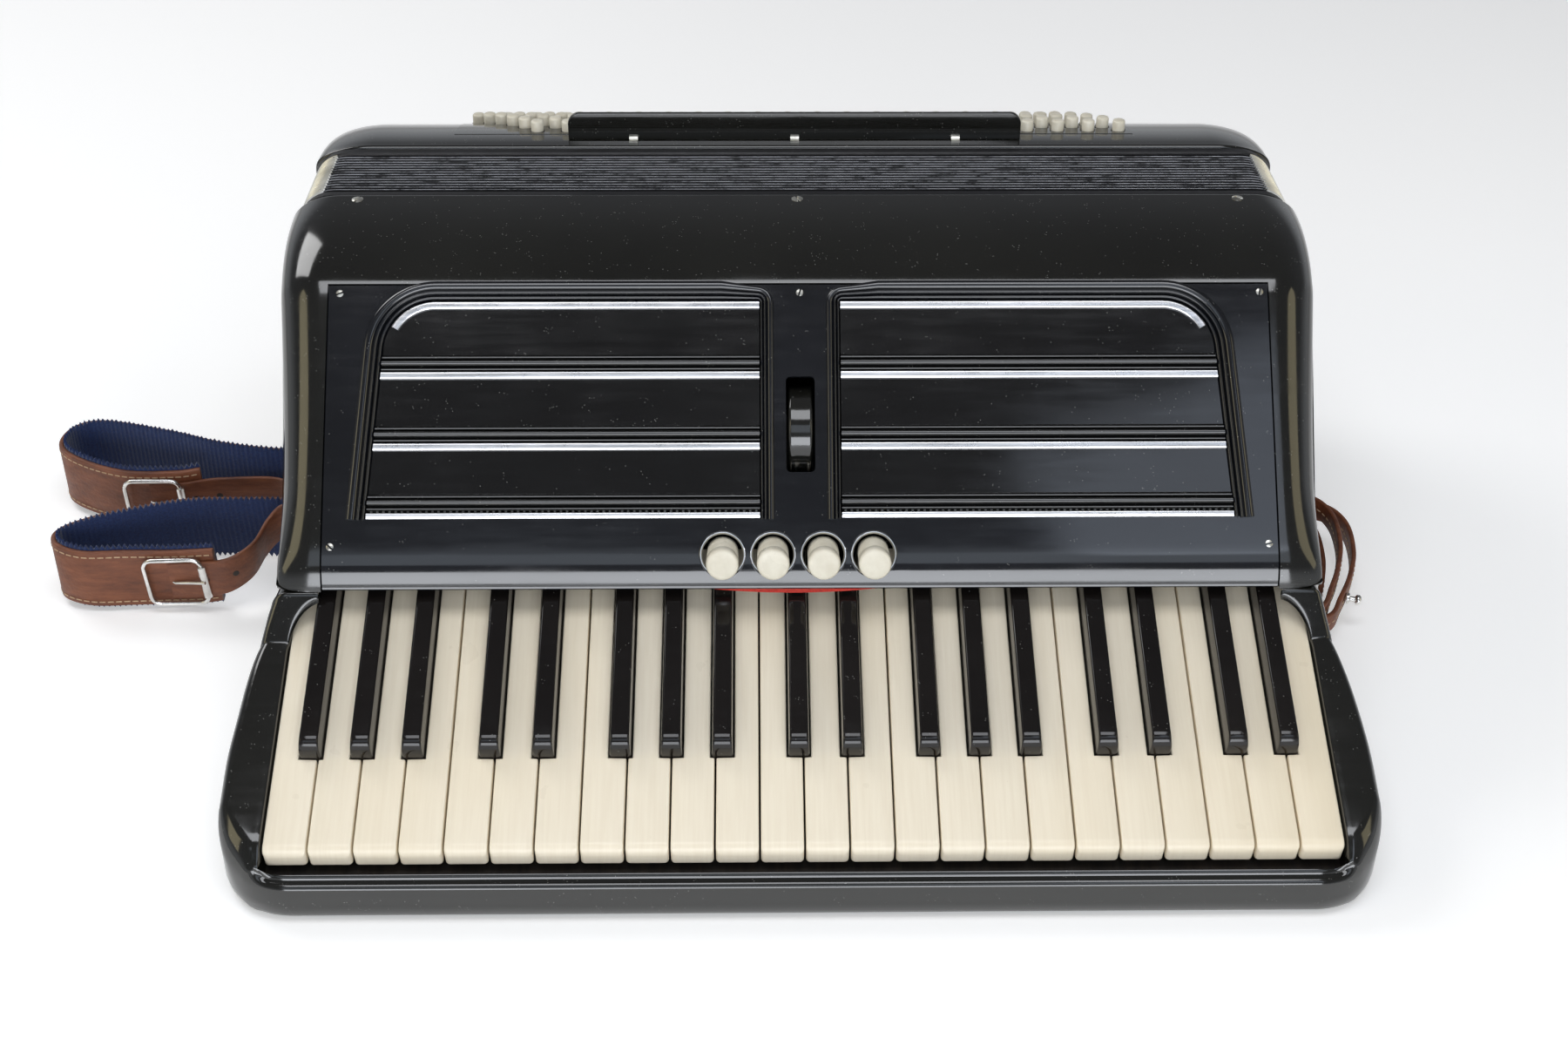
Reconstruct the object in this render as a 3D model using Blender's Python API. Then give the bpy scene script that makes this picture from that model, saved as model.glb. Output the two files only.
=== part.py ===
"""A 41-key, 120-button piano accordion lying on its back, keyboard at -Y and bass side at +Y.

X runs along the keyboard, Z up. The origin is on the surface it lies on, under the middle of the keyboard's
front edge. Lengths are metres.
"""

from math import cos, pi, radians, sin

import bmesh
import bpy
from mathutils import Euler, Matrix, Vector

GAP = 0.0003
CUT_REACH = 0.030

# Keyboard
KEY_PITCH = 0.0195
WHITE_COUNT = 24
KEY_SLOPE = radians(22.05)
KEY_TOP_HEIGHT = 0.028
KEY_SIDE_GAP = 0.0009
KEY_THICKNESS = 0.009
KEY_NOSE = 0.0026
KEY_LENGTH = 0.158
KEY_EDGE_ROUND = 0.0012
EASE_PAST_BLACK = 0.0125
BLACK_START = 0.0475
BLACK_FRONT_SLANT = 0.0035
BLACK_RISE = 0.0102
BLACK_WIDTH = 0.0098
BLACK_TOP_WIDTH = 0.0082
BLACK_EDGE_DROP = 0.0016
BLACK_EDGE_ROUND = 0.0010
BLACK_NOSE_ROUND = 0.0030
BLACK_SLOT_CLEARANCE = 0.0005
BLACK_SPREAD_IN_THREES = 0.00306
BLACK_SPREAD_IN_TWOS = 0.00207
KEY_TRAVEL_SPACE = 0.0062
AXLE_FROM_KEY_END = 0.008
AXLE_DEPTH = 0.0070
AXLE_RADIUS = 0.0015
AXLE_CLEARANCE = 0.0004
AXLE_OVERHANG = 0.004
LANE_CLEARANCE = 0.0014
LANE_MOUTH = 0.080
LANE_SIDE_ROOM = 0.0045
CHEEK_WIDTH_NEAR = 0.0185
CHEEK_WIDTH_FAR = 0.0105
CHEEK_CLEARANCE = 0.0004
CHEEK_RISE = 0.0020
CHEEK_START = 0.004
CHEEK_CORNER = 0.033
COVER_START = 0.096
COVER_REACH = 0.0105
COVER_LENGTH = 0.031
COVER_LIFT = 0.0006
RAIL_REACH = 0.011
RAIL_HEIGHT = 0.0215
RAIL_TOP_ROUND = 0.007
RAIL_FOOT_ROUND = 0.005
RAIL_GAP = 0.0032

# Casings
CASE_SIDE = 0.006
CASE_WALL_FRONT = 0.126
CASE_WALL_ALONG = 0.1125
CASE_TOP_HEIGHT = 0.2125
CASE_CROWN_SHARPNESS = 2.7
BELLOWS_START = 0.272
BELLOWS_LENGTH = 0.057
TREBLE_ROUND = 0.013
TREBLE_ROUND_DROP = 0.010
BASS_ROUND = 0.030
BASS_ROUND_DROP = 0.0115
BASS_LENGTH = 0.101
BASS_FALL = 0.0277
BASS_END_ROUND = 0.012
BASS_END_DROP = 0.021
BASS_HEEL_ROUND = 0.012

# Grille panel
PANEL_MARGIN = 0.021
PANEL_THICKNESS = 0.003
LIP_BULGE = 0.0023
PANEL_FOOT = (0.1103, 0.0893)
PANEL_HEEL = (0.1180, 0.1045)
PANEL_TOP = (0.2037, 0.1981)
POCKET_DEPTH = 0.044
POCKET_LENGTH = 0.100
WINDOW_INNER = 0.0188
WINDOW_MARGIN = 0.020
WINDOW_LOW = 0.0180
WINDOW_HIGH = 0.1180
WINDOW_CORNER = 0.024
WINDOW_SLANT = 0.006
RIM_STEPS = 2
RIM_STEP_WIDTH = 0.0022
RIM_STEP_RISE = 0.0006
SLAT_COUNT = 3
SLAT_OPENING = 0.0080
SLAT_THICKNESS = 0.0016
SLAT_LEAN = 0.0021
SLAT_LIP = 0.0012
SLAT_SEAT = 0.0012
BAR_HEIGHT = 0.0040
BAR_THICKNESS = 0.0018
BUTTON_RADIUS = 0.0077
BUTTON_LENGTH = 0.020
BUTTON_OUT = 0.012
BUTTON_PITCH = 0.0230
BUTTON_COUNT = 4
BUTTON_FIRST_X = -0.0360
BUTTON_TILT = radians(20)
BUTTON_HEIGHT = 0.1035
BUTTON_SETBACK = 0.0030
BUTTON_EDGE_ROUND = 0.0012
BUTTON_HOLE_DEPTH = 0.030
RING_RADIUS = 0.0108
RING_OUT = 0.0015
RING_DEPTH = 0.0045
RING_ROUND = 0.0008
BUTTON_CLEARANCE = 0.0005
WHEEL_RADIUS = 0.022
WHEEL_WIDTH = 0.011
WHEEL_OUT = 0.0030
WHEEL_UP_PANEL = 0.060
WHEEL_SLOT_LENGTH = 0.045
WHEEL_SIDE_CLEARANCE = 0.0012

# Bellows
FOLD_COUNT = 15
FOLD_DEPTH = 0.012
BELLOWS_CORNER = 0.016
BELLOWS_FRAME = 0.006
BELLOWS_SETBACK = 0.001
FOLD_CREST = 0.0006

# Bass side
BUTTON_ROWS = 6
BUTTONS_PER_ROW = 20
ROW_STEP = 0.0085
COLUMN_STEP = 0.0160
ROW_SHIFT = 0.0072
BOARD_START = 0.0190
BOARD_THICKNESS = 0.0020
BOARD_MARGIN = 0.0065
BASS_BUTTON_RADIUS = 0.0030
BASS_BUTTON_RISE = 0.0062
BASS_BUTTON_ROOT = 0.0010
BASS_BUTTON_ROUND = 0.0009
GUARD_LENGTH = 0.233
GUARD_HEIGHT = 0.0145
GUARD_THICKNESS = 0.0025
GUARD_SETBACK = 0.0105
GUARD_CORNER = 0.006
CLIP_WIDTH = 0.007
CLIP_REACH = 0.0045
CLIP_HEIGHT = 0.009
CLIP_SPACING = 0.083
HAND_STRAP_SPAN = 0.340
HAND_STRAP_WIDTH = 0.072
HAND_STRAP_THICKNESS = 0.0045
HAND_STRAP_BULGE = 0.042
HAND_STRAP_HEIGHT = 0.110
KNOB_RADIUS = 0.013
KNOB_LENGTH = 0.009
KNOB_SETBACK = 0.045
AIR_RADIUS = 0.007
AIR_LENGTH = 0.018
AIR_OUT = 0.009
AIR_TRAVEL_SPACE = 0.0075
AIR_CLEARANCE = 0.0005
AIR_PAST_STRAP = 0.022
AIR_HEIGHT = 0.128
METAL_EDGE_ROUND = 0.001

# Straps, each route in distance out from the casing's side, distance past its far edge, height and tilt
STRAP_WIDTH = 0.036
STRAP_THICKNESS = 0.0040
STRAP_STEPS = 34
UPPER_STRAP_ROUTE = (
    (0.0030, -0.0130, 0.0036, 2), (0.0150, -0.0100, 0.0040, 4), (0.0330, 0.0070, 0.0070, 16),
    (0.0620, 0.0240, 0.0160, 52),
    (0.1100, 0.0400, 0.0205, 78), (0.1500, 0.0520, 0.0210, 88), (0.1665, 0.0625, 0.0220, 90),
    (0.1550, 0.0720, 0.0230, 90), (0.1100, 0.0650, 0.0240, 88), (0.0660, 0.0480, 0.0250, 76),
    (0.0360, 0.0310, 0.0215, 48),
)
LOWER_STRAP_ROUTE = (
    (0.0024, -0.0950, 0.0205, 89), (0.0300, -0.0830, 0.0205, 82), (0.0600, -0.0710, 0.0205, 80),
    (0.1000, -0.0610, 0.0205, 84), (0.1280, -0.0585, 0.0210, 88), (0.1400, -0.0505, 0.0215, 90),
    (0.1300, -0.0430, 0.0220, 90), (0.1000, -0.0370, 0.0225, 90), (0.0600, -0.0280, 0.0225, 84),
    (0.0200, -0.0320, 0.0220, 72),
)
LOWER_END_ROUTE = (
    (0.0020, -0.0930, 0.0150, 90), (0.0170, -0.0900, 0.0150, 90), (0.0360, -0.0860, 0.0150, 90),
    (0.0530, -0.0650, 0.0150, 90), (0.0590, -0.0320, 0.0150, 90), (0.0530, -0.0020, 0.0150, 90),
    (0.0360, 0.0180, 0.0150, 90), (0.0170, 0.0230, 0.0150, 90),
)
LOWER_END_WIDTH = 0.022
LOWER_END_THICKNESS = 0.0030

ALONG = Vector((0, cos(KEY_SLOPE), sin(KEY_SLOPE)))
UP = Vector((0, -sin(KEY_SLOPE), cos(KEY_SLOPE)))
KEYBOARD_HALF = WHITE_COUNT * KEY_PITCH / 2
CASE_HALF_WIDTH = KEYBOARD_HALF + CASE_SIDE
PANEL_HALF_WIDTH = CASE_HALF_WIDTH - PANEL_MARGIN
WINDOW_OUTER = PANEL_HALF_WIDTH - WINDOW_MARGIN
AXLE_ALONG_KEY = KEY_LENGTH - AXLE_FROM_KEY_END
BASS_START = BELLOWS_START + BELLOWS_LENGTH
BASS_END = BASS_START + BASS_LENGTH


def clear_scene():
    for thing in list(bpy.data.objects):
        bpy.data.objects.remove(thing, do_unlink=True)


def collection(name):
    group = bpy.data.collections.new(name)
    bpy.context.scene.collection.children.link(group)
    return group


def material(name, colour, roughness, metallic=0.0):
    """A plain finish, made once for each name."""
    if name in bpy.data.materials:
        return bpy.data.materials[name]
    finish = bpy.data.materials.new(name)
    finish.use_nodes = True
    shader = finish.node_tree.nodes["Principled BSDF"]
    shader.inputs["Base Color"].default_value = (*colour, 1.0)
    shader.inputs["Roughness"].default_value = roughness
    shader.inputs["Metallic"].default_value = metallic
    return finish


def celluloid():
    return material("black_celluloid", (0.012, 0.013, 0.016), 0.12)


def ivory():
    return material("ivory_plastic", (0.80, 0.72, 0.55), 0.25)


def cream():
    return material("cream_plastic", (0.74, 0.68, 0.55), 0.3)


def bright_metal():
    return material("bright_metal", (0.72, 0.72, 0.70), 0.22, 1.0)


def leather():
    return material("brown_leather", (0.14, 0.05, 0.025), 0.5)


def black_cloth():
    return material("black_bellows_cloth", (0.015, 0.015, 0.017), 0.7)


def new_object(name, mesh, finish, home):
    thing = bpy.data.objects.new(name, mesh)
    mesh.materials.clear()
    mesh.materials.append(finish)
    home.objects.link(thing)
    return thing


def mesh_from(bm, name):
    bmesh.ops.recalc_face_normals(bm, faces=bm.faces)
    mesh = bpy.data.meshes.new(name)
    bm.to_mesh(mesh)
    bm.free()
    return mesh


def loft(name, rings):
    """A closed skin over rings with equal point counts, capped at both ends."""
    bm = bmesh.new()
    rows = [[bm.verts.new(point) for point in ring] for ring in rings]
    count = len(rows[0])
    for near, far in zip(rows, rows[1:]):
        for i in range(count):
            j = (i + 1) % count
            bm.faces.new((near[i], near[j], far[j], far[i]))
    bm.faces.new(rows[0])
    bm.faces.new(rows[-1])
    return mesh_from(bm, name)


def prism_across(name, outline, low, high):
    """A (y, z) outline carried from x = low to x = high."""
    return loft(name, [[(x, y, z) for y, z in outline] for x in (low, high)])


def inset(outline, distance, held):
    """The outline moved inwards; points whose index is in held keep their y."""
    area = sum(a[0] * b[1] - b[0] * a[1] for a, b in zip(outline, outline[1:] + outline[:1]))
    turn = 1 if area > 0 else -1
    moved = []
    for i, point in enumerate(outline):
        before = Vector(point) - Vector(outline[i - 1])
        after = Vector(outline[(i + 1) % len(outline)]) - Vector(point)
        inward = Vector((-before.y, before.x)).normalized() + Vector((-after.y, after.x)).normalized()
        inward = inward.normalized() * distance * turn
        moved.append((point[0] if i in held else point[0] + inward.x, point[1] + inward.y))
    return moved


def rounded_across(name, outline, half, width, drop, held, steps=3):
    """A (y, z) outline across the full width, its end edges rounded over a width to a drop."""
    turns = [radians(90) * k / steps for k in range(steps + 1)]
    arc = [(half - width + width * sin(a), drop * (1 - cos(a))) for a in turns]
    stations = [(-x, d) for x, d in reversed(arc)] + arc
    rings = [[(x, y, z) for y, z in inset(outline, d, held)] for x, d in stations]
    return loft(name, rings)


def boolean(thing, cutter, operation, cutters):
    """Applies one exact Boolean and keeps the cutter as a hidden guide."""
    if cutter.name not in cutters.objects:
        cutters.objects.link(cutter)
    cutter.hide_render = True
    cutter.display_type = "WIRE"
    step = thing.modifiers.new(operation.lower(), "BOOLEAN")
    step.object = cutter
    step.operation = operation
    step.solver = "EXACT"


def guide(name, mesh, cutters):
    thing = bpy.data.objects.new(name, mesh)
    cutters.objects.link(thing)
    thing.hide_render = True
    thing.display_type = "WIRE"
    return thing


def cylinder_mesh(name, radius, length, sides, round_edge=0.0):
    """A cylinder along +Z from z = 0, its far edge eased."""
    profile = [(radius, 0.0), (radius, length - round_edge)]
    if round_edge:
        profile.append((radius - round_edge, length))
    rings = [[(r * cos(2 * pi * k / sides), r * sin(2 * pi * k / sides), z) for k in range(sides)]
             for r, z in profile]
    return loft(name, rings)


def aim(direction):
    """The rotation that turns +Z to a direction."""
    return Vector(direction).to_track_quat("Z", "Y").to_matrix().to_4x4()


def shade(thing, angle=35):
    thing.data.shade_smooth()
    thing.data.set_sharp_from_angle(angle=radians(angle))


def keyboard_point(along, up):
    """World (y, z) of a place along the key tops and above them."""
    place = Vector((0, 0, KEY_TOP_HEIGHT)) + ALONG * along + UP * up
    return place.y, place.z


def black_offsets():
    """Each white-key boundary that carries a black key, with the black key's shift from it."""
    pattern = (-BLACK_SPREAD_IN_THREES, 0.0, BLACK_SPREAD_IN_THREES, None,
               -BLACK_SPREAD_IN_TWOS, BLACK_SPREAD_IN_TWOS, None)
    return {g: pattern[(g - 1) % 7] for g in range(1, WHITE_COUNT) if pattern[(g - 1) % 7] is not None}


def axle_cutter(cutters):
    radius = AXLE_RADIUS + AXLE_CLEARANCE
    mesh = cylinder_mesh("axle_notch", radius, KEY_PITCH * 2, 10)
    mesh.transform(Matrix.Translation((-KEY_PITCH, 0, 0)) @ Matrix.Rotation(pi / 2, 4, "Y"))
    return guide("axle_notch", mesh, cutters)


def key_mesh(name, outline, thickness_ends):
    """A key from its plan outline of (x, along) points, with its origin on the axle."""
    low, high = thickness_ends
    rings = []
    for up in (low, high):
        nose = KEY_NOSE if up == low else 0.0
        rings.append([(x, along - AXLE_ALONG_KEY - (nose if along == 0.0 else 0.0), up + AXLE_DEPTH)
                      for x, along in outline])
    return loft(name, rings)


def ease_front(mesh, limit):
    """Rounds the top edges of a key ahead of a place along it."""
    bm = bmesh.new()
    bm.from_mesh(mesh)
    top = max(v.co.z for v in bm.verts)
    edges = [e for e in bm.edges if all(v.co.z > top - 1e-6 and v.co.y < limit for v in e.verts)]
    bmesh.ops.bevel(bm, geom=edges, offset=KEY_EDGE_ROUND, segments=1, affect="EDGES", clamp_overlap=True)
    bm.to_mesh(mesh)
    bm.free()


def place_key(thing, centre):
    y, z = keyboard_point(AXLE_ALONG_KEY, -AXLE_DEPTH)
    thing.location = (centre, y, z)
    thing.rotation_euler = Euler((KEY_SLOPE, 0, 0))


def white_keys(parts, cutters, notch):
    offsets = black_offsets()
    slot = BLACK_WIDTH / 2 + BLACK_SLOT_CLEARANCE
    step_back = BLACK_START - BLACK_SLOT_CLEARANCE
    for index in range(WHITE_COUNT):
        centre = (index + 0.5) * KEY_PITCH - KEYBOARD_HALF
        half = (KEY_PITCH - KEY_SIDE_GAP) / 2
        left, right = -half, half
        if index in offsets:
            left = offsets[index] + slot - KEY_PITCH / 2
        if index + 1 in offsets:
            right = offsets[index + 1] - slot + KEY_PITCH / 2
        outline = [(-half, 0.0), (half, 0.0)]
        if right < half:
            outline += [(half, step_back)]
            outline += [(right, step_back)]
        outline += [(right, KEY_LENGTH), (left, KEY_LENGTH)]
        if left > -half:
            outline += [(left, step_back), (-half, step_back)]
        mesh = key_mesh("white_key", outline, (-KEY_THICKNESS, 0.0))
        ease_front(mesh, BLACK_START + EASE_PAST_BLACK - AXLE_ALONG_KEY)
        key = new_object(f"white_key_{index + 1:02d}", mesh, ivory(), parts)
        place_key(key, centre)
        tongue_notch(key, notch, cutters)


def tongue_notch(key, notch, cutters):
    """Opens the axle's notch under a key."""
    cutter = guide(f"notch_{key.name}", notch.data, cutters)
    cutter.parent = key
    boolean(key, cutter, "DIFFERENCE", cutters)


def black_keys(parts, cutters, notch):
    for index, (boundary, shift) in enumerate(black_offsets().items()):
        half, top = BLACK_WIDTH / 2, BLACK_TOP_WIDTH / 2
        base, front = -KEY_THICKNESS, BLACK_START - AXLE_ALONG_KEY
        rear = KEY_LENGTH - AXLE_ALONG_KEY
        shoulder = BLACK_RISE - BLACK_EDGE_DROP
        levels = ((base, half, 0.0), (0.0, half, 0.0), (shoulder, top, BLACK_FRONT_SLANT),
                  (BLACK_RISE, top - BLACK_EDGE_ROUND, BLACK_FRONT_SLANT + BLACK_NOSE_ROUND))
        rings = [[(-w, front + s, z + AXLE_DEPTH), (w, front + s, z + AXLE_DEPTH),
                  (w, rear, z + AXLE_DEPTH), (-w, rear, z + AXLE_DEPTH)] for z, w, s in levels]
        key = new_object(f"black_key_{index + 1:02d}", loft("black_key", rings), celluloid(), parts)
        place_key(key, boundary * KEY_PITCH + shift - KEYBOARD_HALF)
        tongue_notch(key, notch, cutters)


def key_axle(parts):
    half = KEYBOARD_HALF + AXLE_OVERHANG
    mesh = cylinder_mesh("key_axle", AXLE_RADIUS, 2 * half, 10)
    axle = new_object("key_axle", mesh, bright_metal(), parts)
    y, z = keyboard_point(AXLE_ALONG_KEY, -AXLE_DEPTH)
    axle.matrix_world = Matrix.Translation((-half, y, z)) @ Matrix.Rotation(pi / 2, 4, "Y")
    shade(axle)


def keyboard_frame(parts, cutters):
    """Two cheeks and a rolled front rail round a sunk key bed."""
    back = CASE_WALL_FRONT - GAP
    profile = [(back, 0.0)] + rail_section() + [keyboard_point(CHEEK_START, CHEEK_RISE)]
    profile.append((back, height_over_keys(back, CHEEK_RISE)))
    reach = KEYBOARD_HALF + CHEEK_WIDTH_NEAR + CUT_REACH
    mesh = prism_across("keyboard_frame", profile, -reach, reach)
    frame = new_object("keyboard_frame", mesh, celluloid(), parts)
    plan = cheek_plan(back)
    keep = loft("plan", [[(x, y, z) for x, y in plan] for z in (-CUT_REACH, CASE_WALL_FRONT + CUT_REACH)])
    boolean(frame, guide("frame_plan", keep, cutters), "INTERSECT", cutters)
    bed = -KEY_THICKNESS - KEY_TRAVEL_SPACE
    half, stop = KEYBOARD_HALF + CHEEK_CLEARANCE, KEY_LENGTH + CUT_REACH
    well = [keyboard_point(-RAIL_GAP, bed), keyboard_point(stop, bed), keyboard_point(stop, COVER_LIFT),
            keyboard_point(-RAIL_GAP, COVER_LIFT)]
    well = prism_across("key_well", well, -half, half)
    boolean(frame, guide("key_well", well, cutters), "DIFFERENCE", cutters)
    rings = [[(x, *keyboard_point(along, up)) for x, along in opening_plan(stop)]
             for up in (-KEY_THICKNESS / 2, CUT_REACH)]
    boolean(frame, guide("key_opening", loft("key_opening", rings), cutters), "DIFFERENCE", cutters)
    return frame


def height_over_keys(y, up):
    """Height of the plane parallel to the key tops, at a world y."""
    along = (y + up * sin(KEY_SLOPE)) / cos(KEY_SLOPE)
    return keyboard_point(along, up)[1]


def quarter(centre, radii, start, steps):
    """Points round a quarter of an ellipse, from a start angle in degrees, clockwise."""
    turns = [radians(start - 90 * k / steps) for k in range(steps + 1)]
    return [(centre[0] + radii[0] * cos(a), centre[1] + radii[1] * sin(a)) for a in turns]


def rail_section():
    """The front rail's rolled face, from its foot to its top."""
    foot = quarter((RAIL_FOOT_ROUND - RAIL_REACH, RAIL_FOOT_ROUND), (RAIL_FOOT_ROUND,) * 2, 270, 3)
    top_centre = (RAIL_TOP_ROUND - RAIL_REACH, RAIL_HEIGHT - RAIL_TOP_ROUND)
    return foot + quarter(top_centre, (RAIL_TOP_ROUND,) * 2, 180, 4)


def cheek_plan(back):
    """Plan outline: sides that spread toward the front, with rounded front corners."""
    near, far = KEYBOARD_HALF + CHEEK_WIDTH_NEAR, KEYBOARD_HALF + CHEEK_WIDTH_FAR
    turn_y = CHEEK_CORNER - RAIL_REACH
    side = [(near - (near - far) * (k / 4) ** 2, turn_y + (back - turn_y) * k / 4) for k in range(4, 0, -1)]
    plan = side + quarter((near - CHEEK_CORNER, turn_y), (CHEEK_CORNER,) * 2, 0, 6)
    return plan + [(-x, y) for x, y in reversed(plan)]


def opening_plan(stop):
    """The keys' opening in (x, along), its far corners drawn in over the outer keys."""
    corner = quarter((KEYBOARD_HALF - COVER_REACH, COVER_START), (COVER_REACH, COVER_LENGTH), 90, 7)
    side = [(KEYBOARD_HALF - COVER_REACH, stop)] + corner + [(KEYBOARD_HALF, -RAIL_GAP)]
    return side + [(-x, along) for x, along in reversed(side)]


def panel_frame():
    """Unit steps up the panel's flat and into the casing, as (y, z) vectors."""
    up = (Vector(PANEL_TOP) - Vector(PANEL_HEEL)).normalized()
    return up, Vector((up.y, -up.x))


def panel_outline(depth=0.0):
    """The panel's section from foot to top edge, at a depth into the casing."""
    up, inward = panel_frame()
    foot, heel, top = Vector(PANEL_FOOT), Vector(PANEL_HEEL), Vector(PANEL_TOP)
    bulge = Vector((-LIP_BULGE, LIP_BULGE / 2))
    steps = (foot, foot.lerp(heel, 1 / 3) + bulge, foot.lerp(heel, 2 / 3) + bulge, heel, top)
    lean = (Vector((1, 0.05)), Vector((1, -0.25)), Vector((0.92, -0.5)), inward, inward)
    return [tuple(p + q * depth) for p, q in zip(steps, lean)]


def casing_crown(steps=6):
    """The casing's top from the panel's crest to the bellows, curved less and less."""
    far = BELLOWS_START - GAP
    points = []
    for k in range(1, steps + 1):
        share = (k / steps) ** 1.4
        fall = (CASE_TOP_HEIGHT - PANEL_TOP[1]) * (1 - share) ** CASE_CROWN_SHARPNESS
        points.append((PANEL_TOP[0] + (far - PANEL_TOP[0]) * share, CASE_TOP_HEIGHT - fall))
    return points


def treble_casing(parts, cutters):
    seat = CHEEK_RISE + GAP * 2
    outline = [(CASE_WALL_FRONT, 0.0), (CASE_WALL_FRONT, height_over_keys(CASE_WALL_FRONT, seat)),
               keyboard_point(CASE_WALL_ALONG, seat)]
    outline += panel_outline() + casing_crown() + [(BELLOWS_START - GAP, 0.0)]
    held = {0, len(outline) - 1, len(outline) - 2}
    mesh = rounded_across("treble_casing", outline, CASE_HALF_WIDTH, TREBLE_ROUND, TREBLE_ROUND_DROP, held)
    casing = new_object("treble_casing", mesh, celluloid(), parts)
    up, inward = panel_frame()
    crest, heel = Vector(PANEL_TOP), Vector(PANEL_HEEL)
    deep = crest + inward * POCKET_DEPTH
    bed = -KEY_THICKNESS / 2
    pocket = [keyboard_point(LANE_MOUTH, bed), keyboard_point(KEY_LENGTH, bed)]
    pocket += [tuple(p) for p in (deep - up * POCKET_LENGTH, deep, crest, crest - inward * CUT_REACH,
                                  heel - inward * CUT_REACH)]
    half = PANEL_HALF_WIDTH + GAP
    boolean(casing, guide("panel_pocket", prism_across("pocket", pocket, -half, half), cutters),
            "DIFFERENCE", cutters)
    black_half = (WHITE_COUNT / 2 - 1) * KEY_PITCH + BLACK_SPREAD_IN_THREES + BLACK_WIDTH / 2 + LANE_CLEARANCE
    white_half = KEYBOARD_HALF + CHEEK_CLEARANCE + LANE_SIDE_ROOM
    cut_lane(casing, "black_lane", black_half, KEY_LENGTH + LANE_CLEARANCE, -KEY_THICKNESS,
             BLACK_RISE + LANE_CLEARANCE, cutters)
    cut_lane(casing, "white_lane", white_half, KEY_LENGTH + 2 * LANE_CLEARANCE,
             -KEY_THICKNESS - KEY_TRAVEL_SPACE, LANE_CLEARANCE, cutters)
    return casing


def cut_lane(casing, name, half, reach, under, over, cutters):
    """Clears the keys' way into the casing, between two heights over the key tops."""
    section = [keyboard_point(LANE_MOUTH, under), keyboard_point(reach, under),
               keyboard_point(reach, over), keyboard_point(LANE_MOUTH, over)]
    boolean(casing, guide(name, prism_across(name, section, -half, half), cutters), "DIFFERENCE", cutters)


def window_outline(side, grow=0.0):
    """One louvre window in (x, up the panel), rounded at its outer top corner, grown evenly."""
    low, high = WINDOW_LOW - grow, WINDOW_HIGH + grow
    outer, corner = WINDOW_OUTER + grow, WINDOW_CORNER + grow
    points = [(WINDOW_INNER - grow, low), (outer, low)]
    points += quarter((outer - WINDOW_SLANT - corner, high - corner), (corner, corner), 90, 5)[::-1]
    points.append((WINDOW_INNER - grow, high))
    return [(side * x, v) for x, v in points]


def on_panel(x, climb, depth):
    """World point on the panel's flat: x, distance up from its heel, depth into the casing."""
    up, inward = panel_frame()
    place = Vector(PANEL_HEEL) + up * climb + inward * depth
    return (x, place.x, place.y)


def panel_prism(name, outline, out, deep):
    """An (x, climb) outline carried through the panel's flat, from out of it to deep in it."""
    return loft(name, [[on_panel(x, v, d) for x, v in outline] for d in (-out, deep)])


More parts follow.
